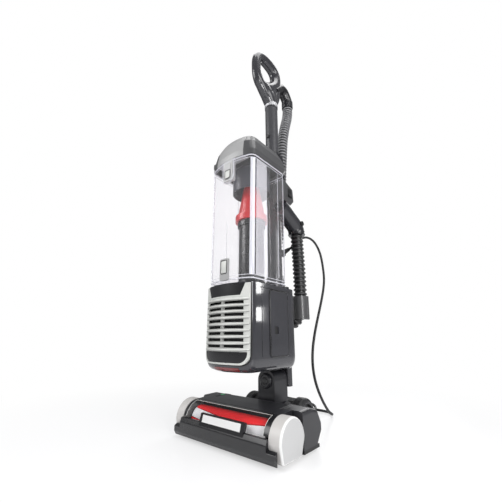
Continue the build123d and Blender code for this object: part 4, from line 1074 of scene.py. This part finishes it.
# the top band is a dark sheet standing in for the window's dark reflection: painted reflection
windowStrip("windowReflectionBand", -bezel["half"], bezel["half"], bezel["rear"], bezel["top"])
windowStrip("windowBezelRight", bezel["right"], bezel["half"], bezel["top"], bezel["foot"])
windowStrip("windowBezelLeft", -bezel["half"], bezel["left"], bezel["top"], bezel["foot"])
turns = range(bezel["top"], bezel["foot"] + 1, bezel["lineStep"])
windowLine = [onWindow(bezel["left"], turn, bezel["lineLift"]) for turn in reversed(turns)]
windowLine += [onWindow(x, bezel["lineTop"], bezel["lineLift"]) for x in bezel["lineX"]]
windowLine += [onWindow(bezel["right"], turn, bezel["lineLift"]) for turn in turns]
bead("windowLine", windowLine, bezel["lineRadius"], False, "lightGrey", "head")
print("window bezel made")


# lines and plates on the pod
frameGapShadow = {
    "half": 68.3, "heights": (325, 290, 250, 210, 186), "cornerX": 48, "cornerZ": 177,
    "cornerWide": 20.3, "cornerHigh": 20.8, "cornerSteps": 6, "foot": [(24, 156.2), (0, 156.2)],
    "behind": 3.6, "radius": 1.3,
}
ridge = {"x": 71.1, "y": -143.0, "heights": (172.0, 220, 270, 322.0), "radius": 0.9}
seam = {"x": 71.2, "ys": (-150, -110, -70, -30), "z": 318.5, "radius": 0.8}
panelRim = {"x": 71.8, "box": (-115.2, -46.8, 171, 315.2), "corner": 8, "radius": 2.3}
slotFloor = {"x": (71.2, 72.0), "y": (-100.9, -86.1), "z": (219.1, 234.9), "edge": 0.3}

gapLine = [(frameGapShadow["half"], z) for z in frameGapShadow["heights"]]
for k in range(1, frameGapShadow["cornerSteps"] + 1):
    turn = math.pi / 2 * k / frameGapShadow["cornerSteps"]
    x = frameGapShadow["cornerX"] + frameGapShadow["cornerWide"] * math.cos(turn)
    gapLine.append((x, frameGapShadow["cornerZ"] - frameGapShadow["cornerHigh"] * math.sin(turn)))
gapLine += frameGapShadow["foot"]
gapLine += [(-x, z) for x, z in reversed(gapLine[:-1])]
gapLine = [(x, podFace(x) + frameGapShadow["behind"], z) for x, z in gapLine]
# a black bead along the frame's edge: a real gap, painted black as its shadow
bead("frameGapShadow", gapLine, frameGapShadow["radius"], False, "black", "upright")
for side, word in sides:
    line = [(side * ridge["x"], ridge["y"], z) for z in ridge["heights"]]
    bead("podRidge" + word, line, ridge["radius"], False, "charcoal", "upright")
    line = [(side * seam["x"], y, seam["z"]) for y in seam["ys"]]
    bead("podSeam" + word, line, seam["radius"], False, "black", "upright")
    loop = roundedLoop(*panelRim["box"], 0, panelRim["corner"])
    line = [(side * panelRim["x"], y, z) for y, _, z in loop]
    # the panel's rounded rim, painted dark as the shade inside the panel's edge
    bead("panelRim" + word, line, panelRim["radius"], True, "charcoalDark", "upright")
    # a black plate at the floor of the side slot: painted shade in the recess
    xs = sorted(side * x for x in slotFloor["x"])
    recess = softBlock(*xs, *slotFloor["y"], *slotFloor["z"], slotFloor["edge"])
    done(recess, "slotFloor" + word, "black", "upright")
print("pod trims made")


# release button, latch and lid lines
button = {
    "plate": (-8, 8, -190.3, -189.3, 600, 620), "edge": 0.6,
    "line": (-9, 9, 599, 622, -189.6, 3), "radius": 0.9,
}
latch = {
    "plate": (-8.5, 8.5, -194.2, -193.2, 352, 380), "edge": 0.6,
    "line": (-9.5, 9.5, 350.5, 382, -193.5, 3.5), "radius": 0.9,
}
notch = {
    "half": 19.5, "top": 652, "bend": 606, "sideY": -187.2, "bendY": -187.6, "steps": 8, "radius": 1.0,
}
lidCatch = {"block": (-77, -64, -170, -154, 664, 680), "edge": 2.5}


def pressed(name, size, body):
    # a pale plate with a dark line around it
    plate = softBlock(*size["plate"], size["edge"])
    done(plate, name + "Face", "lightGrey", body)
    line = roundedLoop(*size["line"])
    bead(name + "Line", line, size["radius"], True, "black", body)


pressed("button", button, "cup_release")
# a pale line along the notch for the release button: a real edge, painted as a highlight line
notchLine = [(-notch["half"], notch["sideY"], z) for z in (notch["top"], notch["bend"])]
for k in range(notch["steps"] + 1):
    turn = math.pi + math.pi * k / notch["steps"]
    z = notch["bend"] + notch["half"] * math.sin(turn)
    notchLine.append((notch["half"] * math.cos(turn), notch["bendY"], z))
notchLine.append((notch["half"], notch["sideY"], notch["top"]))
bead("notchLine", notchLine, notch["radius"], False, "glint", "dust_cup_unit")
pressed("latch", latch, "latch")
catch = softBlock(*lidCatch["block"], lidCatch["edge"])
done(catch, "lidCatch", "black", "dust_cup_unit")
print("button and latch made")


# neck, wheels, wand, elbow and cuff
rings = [
    # name, centre, axis, radius, the bead's own radius, finish, body and slot
    ("pivotRing", (0, -46.0, 111), "Y", 14.2, 1.2, "charcoal", "neck", "dark_plastic"),
    ("wandBand", (0, 8, 949), "Z", 20.6, 0.8, "black", "wand", "black_plastic"),
    ("socketRing", (0, 8, 769), "Z", 23.4, 1.2, "black", "upright", "black_plastic"),
    ("elbowRing", (50, 50, 500), "Z", 23.2, 1.6, "charcoalDark", "upright", "dark_plastic"),
    ("elbowLine", (50, 50, 508), "Z", 23.4, 0.7, "black", "upright", "black_plastic"),
]
discs = [
    # name, centre, axis, radius, depth, edge, finish, body and slot
    ("pivotDisc", (0, -46.1, 111), "Y", 8.5, 1.6, 0.5, "charcoalDark", "neck", "dark_plastic"),
    ("elbowKnob", (74, 42, 527), "X", 7, 7, 1.2, "black", "upright", "black_plastic"),
]
wheel = {
    "y": 3, "z": 38, "ringX": 83.6, "ringRadius": 28.5, "ringBead": 1.3,
    "treadX": (62, 67, 72, 77), "treadRadius": 37.6, "treadBead": 0.7, "treadSteps": 48,
}
cuffRib = {"count": 5, "pitch": 6, "y": 110, "low": 1027, "radius": 18.4, "bead": 1.9}
coverRidge = {
    "xs": (96, 103), "line": [(-126, 73.4), (-112, 75.4), (-77, 75.9), (-64, 73.2)], "radius": 0.7,
}

for name, centre, axis, radius, beadRadius, finish, body, slot in rings:
    bead(name, circle(centre, axis, radius), beadRadius, True, finish, body)
for name, centre, axis, radius, depth, edge, finish, body, slot in discs:
    done(roundDisc(centre, axis, radius, depth, edge), name, finish, body)
for (side, word), body in zip(sides, ("right_wheel", "left_wheel")):
    ring = circle((side * wheel["ringX"], wheel["y"], wheel["z"]), "X", wheel["ringRadius"])
    bead("wheelRing" + word, ring, wheel["ringBead"], True, "charcoal", body)
    for x in wheel["treadX"]:
        centre = (side * x, wheel["y"], wheel["z"])
        tread = circle(centre, "X", wheel["treadRadius"], wheel["treadSteps"])
        bead("tread%s%d" % (word, x), tread, wheel["treadBead"], True, "charcoalDark", body)
for i in range(cuffRib["count"]):
    centre = (0, cuffRib["y"], cuffRib["low"] + cuffRib["pitch"] * i)
    ring = circle(centre, "Z", cuffRib["radius"])
    bead("cuffRib%d" % (i + 1), ring, cuffRib["bead"], True, "charcoal", "wand")
for i, x in enumerate(coverRidge["xs"]):
    for side, word in sides:
        line = [(side * x, y, z) for y, z in coverRidge["line"]]
        name = "coverRidge%s%d" % (word, i + 1)
        # the ridges are a paler grey than the cover: painted highlight lines on real ridges
        bead(name, line, coverRidge["radius"], False, "midGrey", "head")
print("small fittings made")
